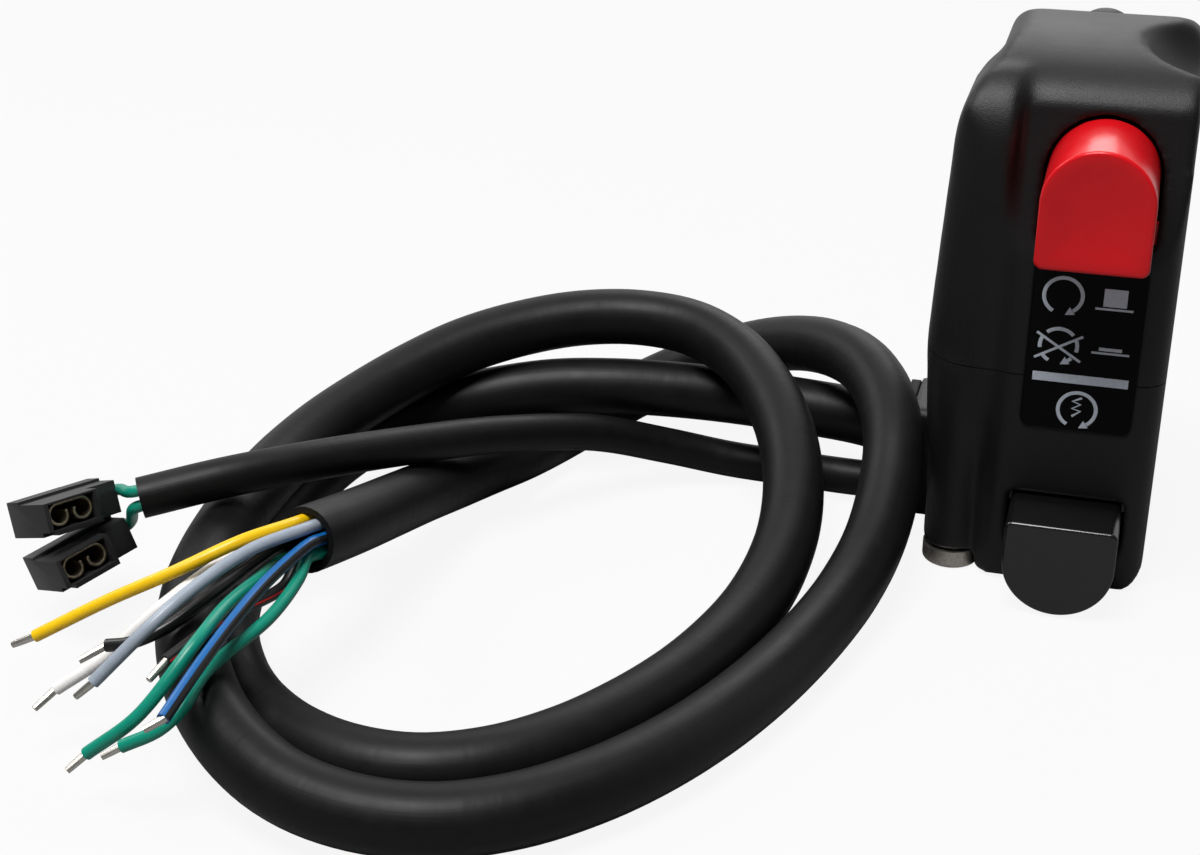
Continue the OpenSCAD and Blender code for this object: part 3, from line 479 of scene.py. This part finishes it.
def pick(obj):
    """Makes an object the only one selected, and the active one"""
    clear()
    obj.select_set(True)
    bpy.context.view_layer.objects.active = obj


@contextmanager
def editing(obj):
    """Edit mode on an object, with nothing selected at first"""
    pick(obj)
    bpy.ops.object.mode_set(mode="EDIT")
    bpy.ops.mesh.select_all(action="DESELECT")
    yield
    bpy.ops.object.mode_set(mode="OBJECT")


def choose(obj, kind, test):
    """In edit mode, selects the faces or edges that pass a test"""
    bpy.ops.mesh.select_mode(type=kind)
    bpy.ops.mesh.select_all(action="DESELECT")
    shape = bmesh.from_edit_mesh(obj.data)
    chosen = [part for part in (shape.faces if kind == "FACE" else shape.edges) if test(part)]
    if not chosen:
        raise RuntimeError(f"no {kind.lower()} of {obj.name} is where it should be")
    for part in chosen:
        part.select_set(True)
    bmesh.update_edit_mesh(obj.data)


def choose_faces(obj, test):
    """In edit mode, selects the faces whose middle and normal pass a test"""
    choose(obj, "FACE", lambda face: test(face.calc_center_median(), face.normal))


def choose_level(obj, axis, level):
    """In edit mode, selects the edges that lie at a level along an axis"""
    choose(obj, "EDGE", lambda edge: all(abs(v.co[axis] - level) < NEAR for v in edge.verts))


def merge_flats():
    """In edit mode, joins the triangles that lie in one plane"""
    bpy.ops.mesh.select_all(action="SELECT")
    bpy.ops.mesh.dissolve_limited(angle_limit=math.radians(1))


def modify(obj, kind, **settings):
    """Adds a modifier and applies it"""
    pick(obj)
    modifier = obj.modifiers.new(kind.title(), kind)
    for key, value in settings.items():
        setattr(modifier, key, value)
    bpy.ops.object.modifier_apply(modifier=modifier.name)
    return obj


def smooth(obj, angle=None):
    """Shades an object smooth, or smooth up to an angle"""
    pick(obj)
    if angle is None:
        bpy.ops.object.shade_smooth()
    else:
        bpy.ops.object.shade_smooth_by_angle(angle=math.radians(angle))
    return obj


def fit(obj, body, slot, *nodes, look=None):
    """Gives a piece its finish and its place on a body"""
    obj.data.materials.clear()
    obj.data.materials.append(finish(look or slot))
    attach(obj, body)
    if nodes:
        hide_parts(*nodes)
    return obj


def copy_of(node, name):
    """A copy of a node's mesh with its loose triangles joined"""
    obj = bpy.data.objects.new(name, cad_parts[node].data.copy())
    bpy.context.collection.objects.link(obj)
    with editing(obj):
        bpy.ops.mesh.select_all(action="SELECT")
        bpy.ops.mesh.remove_doubles(threshold=WELD)
        bpy.ops.mesh.customdata_custom_splitnormals_clear()
    return obj


def joined(name, pieces):
    """One object from several"""
    clear()
    for piece in pieces:
        piece.select_set(True)
    bpy.context.view_layer.objects.active = pieces[0]
    bpy.ops.object.join()
    pieces[0].name = name
    return pieces[0]


def block(name, low, high):
    """A block between two corners, in metres"""
    clear()
    bpy.ops.mesh.primitive_cube_add(size=1, location=(Vector(low) + Vector(high)) / 2)
    obj = bpy.context.object
    obj.name = name
    obj.scale = Vector(high) - Vector(low)
    bpy.ops.object.transform_apply(location=True, rotation=True, scale=True)
    return obj


def combine(obj, other, operation, solver="EXACT"):
    """Joins a second solid to a first, cuts it away or keeps what both share"""
    modify(obj, "BOOLEAN", operation=operation, object=other, solver=solver)
    bpy.data.objects.remove(other)
    return obj


def on_table(route):
    """Points given above the table, as places in metres"""
    return [Vector((x, y, TABLE + rise)) * MM for x, y, rise in route]


def smooth_route(points, step):
    """Points a step apart on a smooth curve through a route"""
    ghosts = [2 * points[0] - points[1], *points, 2 * points[-1] - points[-2]]
    fine = []
    for a, b, c, d in zip(ghosts, ghosts[1:], ghosts[2:], ghosts[3:]):
        ta, tb = 0, math.sqrt((b - a).length)
        tc = tb + math.sqrt((c - b).length)
        td = tc + math.sqrt((d - c).length)
        count = max(2, round((c - b).length / step))
        for k in range(count):
            t = tb + (tc - tb) * k / count
            ab = a.lerp(b, (t - ta) / (tb - ta))
            bc = b.lerp(c, (t - tb) / (tc - tb))
            cd = c.lerp(d, (t - tc) / (td - tc))
            abc = ab.lerp(bc, (t - ta) / (tc - ta))
            bcd = bc.lerp(cd, (t - tb) / (td - tb))
            fine.append(abc.lerp(bcd, (t - tb) / (tc - tb)))
    return fine + [points[-1].copy()]


def tube(name, route, radius, sides=16, taper=None, sleeve=True):
    """A round cord along a route, closed at both ends, that knows its length and sides"""
    curve = bpy.data.curves.new(name, "CURVE")
    curve.dimensions = "3D"
    curve.bevel_depth = radius
    curve.bevel_resolution = (sides - 4) // 2
    spline = curve.splines.new("POLY")
    spline.points.add(len(route) - 1)
    for k, (point, place) in enumerate(zip(spline.points, route)):
        point.co = (*place, 1)
        point.radius = taper(k / (len(route) - 1)) if taper else 1
    obj = bpy.data.objects.new(name, curve)
    bpy.context.collection.objects.link(obj)
    pick(obj)
    bpy.ops.object.convert(target="MESH")
    obj = bpy.context.object
    count = len(obj.data.vertices) // len(route)
    if count * len(route) != len(obj.data.vertices):
        raise RuntimeError(f"{name} has uneven rings")
    run = [0.0]
    for first, second in zip(route, route[1:]):
        run.append(run[-1] + (second - first).length / MM)
    if sleeve:
        layer = obj.data.attributes.new("sleeve", "FLOAT_VECTOR", "POINT")
        for k, item in enumerate(layer.data):
            turn = math.tau * (k % count) / count
            item.vector = (math.cos(turn), math.sin(turn), run[k // count])
    with editing(obj):
        for end in (route[0], route[-1]):
            choose(obj, "EDGE", lambda e: e.is_boundary and (e.verts[0].co - end).length < 1.5 * radius)
            bpy.ops.mesh.edge_face_add()
        bpy.ops.mesh.select_all(action="SELECT")
        bpy.ops.mesh.normals_make_consistent(inside=False)
    return smooth(obj, 50)


def open_end(obj, end, way, wall, depth):
    """Hollows a cord's cut end"""
    with editing(obj):
        choose_faces(obj, lambda middle, normal: (middle - end).length < wall and normal.dot(way) > 0.8)
        bpy.ops.mesh.inset(thickness=wall)
        bpy.ops.mesh.extrude_region_move(TRANSFORM_OT_translate={"value": -depth * way})
    return smooth(obj, 40)


def end_frame(route):
    """Way out of a route's end, and the directions across it and up from it"""
    way = (route[-1] - route[-2]).normalized()
    across = way.cross(Vector((0, 0, 1))).normalized()
    return way, across, across.cross(way)


class SWITCH_OT_stage(Operator):
    """Adds the camera, the floor and the lamps"""
    bl_idname = "switch.stage"
    bl_label = "Stage"

    def execute(self, context):
        scene = context.scene
        light = scene.switch_stage
        lens = bpy.data.cameras.new("photo_camera")
        lens.lens = CAMERA_LENS
        lens.sensor_width = CAMERA_SENSOR
        lens.sensor_fit = "HORIZONTAL"
        lens.clip_start = 0.01
        camera = bpy.data.objects.new("photo_camera", lens)
        turn, fall = math.radians(CAMERA_TURN), math.radians(CAMERA_FALL)
        ahead = Vector((-math.sin(turn) * math.cos(fall), math.cos(turn) * math.cos(fall), -math.sin(fall)))
        camera.location = CAMERA_AT
        camera.rotation_euler = ahead.to_track_quat("-Z", "Y").to_euler()
        scene.collection.objects.link(camera)
        scene.camera = camera
        scene.view_settings.view_transform = "Standard"
        self.floor(light)
        self.sky(scene, light)
        for name, (place, size) in LAMPS.items():
            self.lamp(name + "_lamp", place, size, getattr(light, name))
        return {"FINISHED"}

    def floor(self, light):
        clear()
        bpy.ops.mesh.primitive_plane_add(size=6, location=(0, 0, TABLE * MM - 0.00005))
        floor = bpy.context.object
        floor.name = "floor"
        fin = Finish("pale_floor", light.floor, 0.9, specular_ior_level=0.0)
        mottle = fin.noise(3, 2)
        fin.paint(base_color=fin.mix(mottle, shade(light.floor, 0.99), light.floor))
        glow = fin.add("ShaderNodeEmission", None, {"Color": (1, 1, 1), "Strength": 1.1})
        away = fin.add("ShaderNodeSeparateXYZ", None, {0: fin.place()}, 1)
        far = fin.add("ShaderNodeMapRange", None, {0: away, 1: 0.03, 2: 0.45})
        plain = Value(fin, fin.shader.outputs[0])
        shown = 0.82 * fin.background_rays(light.mirrored * far)
        blend = fin.add("ShaderNodeMixShader", None, {0: shown, 1: plain, 2: glow})
        fin.feed(fin.tree.nodes["Material Output"].inputs["Surface"], blend)
        floor.data.materials.append(fin.material)

    def sky(self, scene, light):
        world = bpy.data.worlds.new("studio")
        world.use_nodes = True
        scene.world = world
        nodes = Nodes(world.node_tree)
        back = nodes.tree.nodes["Background"]
        nodes.feed(back.inputs["Color"], (1, 1, 1))
        ray = nodes.add("ShaderNodeTexCoord", output="Generated")
        away = nodes.add("ShaderNodeSeparateXYZ", None, {0: ray}, 1)
        far = nodes.add("ShaderNodeMapRange", None, {0: away, 1: 0.0, 2: 0.7})
        rays = nodes.background_rays(light.mirrored * far)
        nodes.feed(back.inputs["Strength"], light.sky + (1 - light.sky) * rays)

    def lamp(self, name, place, size, watts):
        data = bpy.data.lights.new(name, "AREA")
        data.shape = "DISK"
        data.size = size
        data.energy = watts
        obj = bpy.data.objects.new(name, data)
        obj.location = place
        obj.rotation_euler = (LIT_SPOT - Vector(place)).to_track_quat("-Z", "Y").to_euler()
        bpy.context.scene.collection.objects.link(obj)


class SWITCH_OT_loom(Operator):
    """Makes the loom with the eight wires at its cut end"""
    bl_idname = "switch.loom"
    bl_label = "Loom"

    def execute(self, context):
        sizes = context.scene.switch_sizes
        route = smooth_route(on_table(LOOM), 0.0014)
        way, across, up = end_frame(on_table(LOOM))
        loom = tube("loom", route, sizes.loom_d / 2, 28)
        open_end(loom, route[-1], way, sizes.sheath_wall, 0.005)
        fit(loom, CASE_BODY, "sheath_pvc", "loom_sheath")
        tips = []
        for node, (angle, path) in WIRES.items():
            turn = math.radians(angle)
            start = route[-1] + WIRE_RING * MM * (math.cos(turn) * across + math.sin(turn) * up)
            points = [start - 0.0045 * way, start, start + 0.0024 * way, *on_table(path)]
            tip = points.pop()
            line = smooth_route(points, 0.0006)
            out = (tip - points[-1]).normalized()
            wire = tube(node.replace("_wire", "") + "_jacket", line, sizes.wire_d / 2)
            open_end(wire, line[-1], (line[-1] - line[-2]).normalized(), 0.00022, 0.0004)
            slot = "wire_green" if node.startswith("green") else "wire_" + node.replace("_wire", "")
            fit(wire, CASE_BODY, slot, node)
            bare = smooth_route([points[-1] - 0.0003 * out, points[-1].lerp(tip, 0.5), tip], 0.0004)
            tips.append(tube("tip", bare, sizes.core_d / 2, 12, lambda t: 1 - 0.16 * t * t))
        tips = joined("tinned_tips", tips)
        fit(tips, CASE_BODY, "tinned_copper", "tinned_ends")
        return {"FINISHED"}


class SWITCH_OT_lead(Operator):
    """Makes the lead with its two spade connectors"""
    bl_idname = "switch.lead"
    bl_label = "Lead"

    def execute(self, context):
        sizes = context.scene.switch_sizes
        route = smooth_route(on_table(LEAD), 0.0012)
        way, across, up = end_frame(on_table(LEAD))
        lead = tube("lead", route, sizes.lead_d / 2, 24)
        open_end(lead, route[-1], way, sizes.sheath_wall, 0.003)
        fit(lead, CASE_BODY, "sheath_pvc", "lead_sheath")
        shell, terminal = self.shell(), self.terminal()
        stubs = []
        for name, (at, turn) in CONNECTORS.items():
            turned = Euler([math.radians(angle) for angle in turn]).to_matrix().to_4x4()
            spot = Matrix.Translation(on_table([at])[0]) @ turned
            rise = sizes.wire_d * (0.7 if name == "upper" else -0.7)
            start = route[-1] + rise * up
            entry = spot @ (TAIL_ENTRY * MM)
            inward = (spot.to_3x3() @ Vector((-1, 0, 0))).normalized()
            bend = interpolate_bezier(start, start + 0.0025 * way, entry - 0.003 * inward, entry, 12)
            line = smooth_route([start - 0.0025 * way, *bend, entry + 0.002 * inward], 0.0005)
            stubs.append(tube("stub", line, sizes.wire_d / 2))
            for model, kind, slot in ((shell, "connector", "connector_nylon"),
                                      (terminal, "receptacle", "terminal_brass")):
                piece = bpy.data.objects.new(f"{name}_{kind}", model.data.copy())
                context.collection.objects.link(piece)
                piece.data.transform(spot)
                fit(piece, CASE_BODY, slot, f"{kind}_{name}")
        for model in (shell, terminal):
            bpy.data.objects.remove(model)
        stubs = joined("lead_stubs", stubs)
        fit(stubs, CASE_BODY, "wire_green", "lead_wires")
        return {"FINISHED"}

    def shell(self):
        """One connector at the origin: a socket, a stepped-back tail, a raised back and a notch"""
        half = CONNECTOR / 2
        shell = block("connector_shell", -half * MM, half * MM)
        tail = block("tail", Vector((0, -half.y + TAIL_BACK, -half.z)) * MM,
                     Vector((half.x + TAIL, half.y, half.z - 0.02)) * MM)
        combine(shell, tail, "UNION")
        step = block("step", Vector((-half.x - 1, -half.y - 1, half.z - 0.35)) * MM,
                     Vector((half.x + TAIL + 1, 1.6, half.z + 1)) * MM)
        combine(shell, step, "DIFFERENCE")
        hole = block("hole", Vector((-SOCKET.x / 2, -half.y - 1, -SOCKET.z / 2)) * MM,
                     Vector((SOCKET.x / 2, half.y - 0.7, SOCKET.z / 2)) * MM)
        combine(shell, hole, "DIFFERENCE")
        notch = block("notch", Vector((-half.x - 1, -half.y - 1, -half.z - 1)) * MM,
                      Vector((-half.x + 1.1, -half.y + 1.7, -half.z + 0.55)) * MM)
        combine(shell, notch, "DIFFERENCE")
        clear()
        bpy.ops.mesh.primitive_cylinder_add(vertices=24, radius=0.0009, depth=0.006,
                                            location=(TAIL_ENTRY + Vector((0.4, 0, 0))) * MM,
                                            rotation=(0, math.pi / 2, 0))
        combine(shell, bpy.context.object, "DIFFERENCE")
        modify(shell, "BEVEL", width=0.00022, segments=3, limit_method="ANGLE",
               angle_limit=math.radians(40))
        return smooth(shell, 35)

    def terminal(self):
        """One spade receptacle at the origin: a flat with two edges curled under it"""
        radius, reach, top = 1.25, 1.55, SOCKET.z / 2 - 0.25
        steps, sweep, round_steps = 25, 290, 18
        profile = []
        for side in (1, -1):
            curl = []
            for k in range(steps + 1):
                turn = math.radians(90 - sweep * k / steps)
                size = radius * (1 - 0.03 * max(0, k - round_steps))
                curl.append((side * (reach + size * math.cos(turn)), top - radius + size * math.sin(turn)))
            profile += curl[::-1] if side > 0 else curl
        curve = bpy.data.curves.new("receptacle_strip", "CURVE")
        curve.dimensions = "3D"
        curve.extrude = 0.00365
        spline = curve.splines.new("POLY")
        spline.points.add(len(profile) - 1)
        for point, (x, z) in zip(spline.points, profile):
            point.co = (x * MM, z * MM, 0, 1)
        obj = bpy.data.objects.new("receptacle_strip", curve)
        bpy.context.collection.objects.link(obj)
        pick(obj)
        bpy.ops.object.convert(target="MESH")
        obj = bpy.context.object
        obj.data.transform(Matrix.Rotation(math.pi / 2, 4, "X"))
        modify(obj, "SOLIDIFY", thickness=0.00034, offset=0)
        modify(obj, "BEVEL", width=0.00008, segments=2, limit_method="ANGLE", angle_limit=math.radians(60))
        return smooth(obj, 40)


class SWITCH_OT_case(Operator):
    """Softens the case into a moulding and parts it into its two halves"""
    bl_idname = "switch.case"
    bl_label = "Case"

    def execute(self, context):
        sizes = context.scene.switch_sizes
        whole = joined("case", [copy_of(half + "_housing", half) for half in ("upper", "lower")])
        with editing(whole):
            for side in (1, -1):
                choose_faces(whole, lambda middle, normal: (0 < side * middle.z < 2 * HALF_GAP
                                                            and side * normal.z < -0.9))
                bpy.ops.transform.translate(value=(0, 0, -side * HALF_GAP))
        modify(whole, "REMESH", mode="VOXEL", voxel_size=sizes.mould_voxel, use_smooth_shade=True)
        self.roll_crown(whole, sizes.crown_edge)
        modify(whole, "SMOOTH", factor=0.5, iterations=5)
        modify(whole, "SMOOTH", factor=0.5, iterations=40, vertex_group=self.soft_edges(whole))
        low, high = (Vector(corner) for corner in CAD_BOX)
        line = sizes.parting / 2
        for half, bottom, top in (("upper", line, high.z + 0.01), ("lower", low.z - 0.01, -line)):
            obj = bpy.data.objects.new(half + "_case", whole.data.copy())
            context.collection.objects.link(obj)
            room = block("room", (low.x, low.y, bottom), (high.x + 0.01, high.y + 0.01, top))
            combine(obj, room, "INTERSECT", "MANIFOLD")
            fit(smooth(obj, 38), CASE_BODY, "case_plastic", half + "_housing")
        bpy.data.objects.remove(whole)
        return {"FINISHED"}

    def roll_crown(self, obj, radius):
        """Widens the rounding of the front top edge, less so beside the left rib"""
        rib_side, blend, plain_edge, wall = -0.012, 0.003, 0.0035, 0.0012
        for vertex in obj.data.vertices:
            share = min(1, max(0, (vertex.co.x - rib_side) / blend))
            reach = plain_edge + (radius - plain_edge) * share
            outward = Vector((CASE_FRONT + reach - vertex.co.y, vertex.co.z - CASE_TOP + reach))
            inside = vertex.normal.z * outward.y - vertex.normal.y * outward.x < 0
            limit = reach - wall if inside else reach
            if share and min(outward) > 0 and outward.length > limit:
                outward *= limit / outward.length
                vertex.co.y = CASE_FRONT + reach - outward.x
                vertex.co.z = CASE_TOP - reach + outward.y

    def soft_edges(self, obj):
        """Group of the crown and of the rib's side, away from the stop button's hole"""
        group = obj.vertex_groups.new(name="soft")
        chosen = []
        for vertex in obj.data.vertices:
            x, y, z = vertex.co / MM
            beside = x < -8.8 and y < -6
            above = z > 33.2 or (z > 26 and x > 8.6)
            if beside or above:
                chosen.append(vertex.index)
        group.add(chosen, 1, "REPLACE")
        return group.name


class SWITCH_OT_grommet(Operator):
    """Softens the rubber grommet around the cables"""
    bl_idname = "switch.grommet"
    bl_label = "Grommet"

    def execute(self, context):
        obj = copy_of("cable_grommet", "outlet_grommet")
        modify(obj, "REMESH", mode="VOXEL", voxel_size=0.00016, use_smooth_shade=True)
        modify(obj, "SMOOTH", factor=0.5, iterations=6)
        fit(smooth(obj), CASE_BODY, "grommet_rubber", "cable_grommet")
        return {"FINISHED"}


class SWITCH_OT_legend(Operator):
    """Makes the gloss plate and its printed marks"""
    bl_idname = "switch.legend"
    bl_label = "Legend plate"

    def execute(self, context):
        plate = copy_of("legend_plate", "marking_plate")
        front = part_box("legend_plate")[0][1]
        with editing(plate):
            merge_flats()
            choose_level(plate, 1, front)
            bpy.ops.mesh.bevel(offset=0.00015, segments=3)
        fit(smooth(plate, 40), CASE_BODY, "legend_gloss", "legend_plate")
        width = context.scene.switch_sizes.mark_w
        self.front = front - 0.00002
        marks = self.ring((-2.57, 10.83), 2.25, width)
        marks += self.ring((-2.53, 4.4), 2.2, width, broken=True)
        marks += self.ring((0.44, -3.7), 2.25, width)
        cross = [((-5.2, 5.95), (0.2, 2.55)), ((-5.25, 2.65), (0.25, 5.85))]
        marks += [self.line(pair, width * 0.72) for pair in cross]
        zigzag = [(0.9, -2.1), (-0.15, -2.62), (0.82, -2.98), (-0.15, -3.58), (0.85, -3.86),
                  (-0.1, -4.62)]
        marks.append(self.line(zigzag, width * 0.66))
        marks += [self.bar((2.12, 9.95), (4.84, 12.2)), self.bar((1.25, 9.5), (5.64, 9.78)),
                  self.bar((2.2, 4.3), (4.9, 4.72)), self.bar((1.37, 3.86), (5.78, 4.14)),
                  self.bar((-5.22, -0.3), (6.08, 0.84))]
        marks = joined("plate_marks", marks)
        fit(smooth(marks, 40), CASE_BODY, "legend_gloss", look="legend_marks")
        return {"FINISHED"}

    def flat(self, obj):
        """Presses a mark against the plate"""
        with editing(obj):
            bpy.ops.mesh.select_all(action="SELECT")
            bpy.ops.transform.resize(value=(1, 0.06, 1), center_override=(0, self.front, 0))
        return obj

    def line(self, points, width):
        route = [Vector((x * MM, self.front, z * MM)) for x, z in points]
        return self.flat(tube("mark", route, width / 2, 8, sleeve=False))

    def bar(self, low, high):
        obj = block("mark", Vector((low[0] * MM, self.front - 0.00002, low[1] * MM)),
                    Vector((high[0] * MM, self.front + 0.00003, high[1] * MM)))
        modify(obj, "BEVEL", width=0.00001, segments=1)
        return obj

    def ring(self, middle, radius, width, broken=False):
        """A turning arrow, whole or broken where a cross passes"""
        start, stop = math.radians(-118), math.radians(-68)
        sweep = math.tau - (stop - start)
        points = []
        for k in range(49):
            turn = start - sweep * k / 48
            points.append((middle[0] + radius * math.cos(turn), middle[1] + radius * math.sin(turn)))
        marks = []
        if broken:
            for first, last in ((0, 5), (8, 14), (17, 31), (34, 40), (44, 48)):
                marks.append(self.line(points[first:last + 1], width))
        else:
            marks.append(self.line(points[:47], width))
        end, before = Vector(points[48]), Vector(points[44])
        way = (end - before).normalized()
        side = Vector((-way.y, way.x))
        tip = end + way * 0.55
        corners = [tip, end - way * 0.45 + side * 0.55, end - way * 0.45 - side * 0.55]
        clear()
        bpy.ops.mesh.primitive_circle_add(vertices=3, radius=0.0005, fill_type="NGON")
        arrow = bpy.context.object
        arrow.name = "mark"
        for vertex, corner in zip(arrow.data.vertices, corners):
            vertex.co = (corner.x * MM, self.front - 0.00002, corner.y * MM)
        with editing(arrow):
            bpy.ops.mesh.select_all(action="SELECT")
            bpy.ops.mesh.extrude_region_move(TRANSFORM_OT_translate={"value": (0, 0.00004, 0)})
            bpy.ops.mesh.select_all(action="SELECT")
            bpy.ops.mesh.normals_make_consistent(inside=False)
        return marks + [arrow]


class SWITCH_OT_buttons(Operator):
    """Rounds and dishes the stop and start buttons"""
    bl_idname = "switch.buttons"
    bl_label = "Buttons"

    def execute(self, context):
        sizes = context.scene.switch_sizes
        stop = self.cap("stop_button", "stop_cap", sizes.button_edge, sizes.stop_dish)
        fit(stop, "stop_slide", "stop_red", "stop_button")
        start = self.cap("start_button", "start_cap", sizes.button_edge, sizes.start_dish)
        fit(start, "start_slide", "start_black", "start_button")
        return {"FINISHED"}

    def cap(self, node, name, edge, dish):
        """A copy of a cap with a rounded rim and a hollow face"""
        obj = copy_of(node, name)
        low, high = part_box(node)
        front = low[1]
        with editing(obj):
            merge_flats()
            choose_level(obj, 1, front)
            bpy.ops.mesh.bevel(offset=edge, segments=4)
            choose_faces(obj, lambda middle, normal: abs(middle.y - front) < NEAR and normal.y < -0.9)
            shape = bmesh.from_edit_mesh(obj.data)
            rim = [v.co for f in shape.faces if f.select for v in f.verts]
            middle = Vector(((min(c.x for c in rim) + max(c.x for c in rim)) / 2, front,
                             (min(c.z for c in rim) + max(c.z for c in rim)) / 2))
            steps = 6
            size = 1.0
            sunk = 0.0
            for k in range(1, steps + 1):
                reach = 1 - 0.92 * k / steps
                depth = dish * (1 - reach * reach)
                bpy.ops.mesh.extrude_region_move(TRANSFORM_OT_translate={"value": (0, depth - sunk, 0)})
                bpy.ops.transform.resize(value=(reach / size, 1, reach / size), center_override=middle)
                size, sunk = reach, depth
        return smooth(obj, 32)


class SWITCH_OT_fasteners(Operator):
    """Domes the heads of the two clamp screws"""
    bl_idname = "switch.fasteners"
    bl_label = "Clamp screws"

    def execute(self, context):
        screws = copy_of("clamp_screws", "case_screws")
        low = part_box("clamp_screws")[0][2]
        with editing(screws):
            merge_flats()
            choose_level(screws, 2, low)
            bpy.ops.mesh.bevel(offset=0.0005, segments=4)
        fit(smooth(screws, 35), CASE_BODY, "screw_steel", "clamp_screws")
        return {"FINISHED"}


class SWITCH_OT_springs(Operator):
    """Winds the two return springs"""
    bl_idname = "switch.springs"
    bl_label = "Springs"

    def execute(self, context):
        wire = context.scene.switch_sizes.spring_wire
        count = SPRING_TURNS * SPRING_STEPS
        for name, (radius, middle, travel) in SPRINGS.items():
            low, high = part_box(name + "_spring")
            first, last = low[1] + wire / 2, high[1] - wire / 2
            points = []
            for k in range(count + 1):
                turn = math.tau * k / SPRING_STEPS
                points.append(Vector(((CONTROLS_X + radius * math.cos(turn)) * MM,
                                      first + (last - first) * k / count,
                                      (middle + radius * math.sin(turn)) * MM)))
            coil = tube(name + "_coil", points, wire / 2, 10)
            fit(coil, CASE_BODY, "spring_steel", name + "_spring")
            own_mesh(coil)
        return {"FINISHED"}


class SWITCH_OT_inside(Operator):
    """Lays the inner wires and finishes the switch parts inside the case"""
    bl_idname = "switch.inside"
    bl_label = "Inside"

    def execute(self, context):
        wire = context.scene.switch_sizes.wire_d
        wires = [tube("inner", smooth_route([Vector(p) * MM for p in route], 0.0008), wire / 2, 14)
                 for route in INNER_LEADS]
        fit(joined("inner_wires", wires), CASE_BODY, "wire_black", "inner_leads")
        shown = {
            "contact_brass": ("screw_inserts", "stop_bridge", "start_bridge", "stop_contacts",
                              "start_contacts"),
            "plunger_plastic": ("stop_plunger", "start_plunger"),
            "base_plastic": ("stop_switch_base", "start_switch_base"),
            "spring_steel": ("stop_latch", "stop_latch_pin"),
            "tie_nylon": ("cable_tie",),
        }
        for look, nodes in shown.items():
            for node in nodes:
                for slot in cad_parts[node].material_slots:
                    slot.material = finish(look)
        return {"FINISHED"}


PIECES = (SWITCH_OT_stage, SWITCH_OT_loom, SWITCH_OT_lead, SWITCH_OT_case, SWITCH_OT_grommet,
          SWITCH_OT_legend, SWITCH_OT_buttons, SWITCH_OT_fasteners, SWITCH_OT_springs, SWITCH_OT_inside)


class SWITCH_PT_panel(Panel):
    """Lists the pieces, sizes and colours of the switch cluster"""
    bl_idname = "SWITCH_PT_panel"
    bl_label = "Switch cluster"
    bl_space_type = "VIEW_3D"
    bl_region_type = "UI"
    bl_category = "Switch"

    def draw(self, context):
        for piece in PIECES:
            self.layout.operator(piece.bl_idname)
        for group in (context.scene.switch_sizes, context.scene.switch_colours, context.scene.switch_stage):
            box = self.layout.box()
            for key in group.__annotations__:
                box.prop(group, key)


CLASSES = (SwitchColours, SwitchSizes, SwitchStage, *PIECES, SWITCH_PT_panel)


def register():
    for cls in CLASSES:
        bpy.utils.register_class(cls)
    bpy.types.Scene.switch_colours = PointerProperty(type=SwitchColours)
    bpy.types.Scene.switch_sizes = PointerProperty(type=SwitchSizes)
    bpy.types.Scene.switch_stage = PointerProperty(type=SwitchStage)


def unregister():
    del bpy.types.Scene.switch_stage
    del bpy.types.Scene.switch_sizes
    del bpy.types.Scene.switch_colours
    for cls in reversed(CLASSES):
        bpy.utils.unregister_class(cls)


def main():
    register()
    bpy.ops.switch.stage()
    bpy.ops.switch.loom()
    bpy.ops.switch.lead()
    bpy.ops.switch.case()
    bpy.ops.switch.grommet()
    bpy.ops.switch.legend()
    bpy.ops.switch.buttons()
    bpy.ops.switch.fasteners()
    bpy.ops.switch.springs()
    bpy.ops.switch.inside()
    clear()


if __name__ == "__main__":
    main()
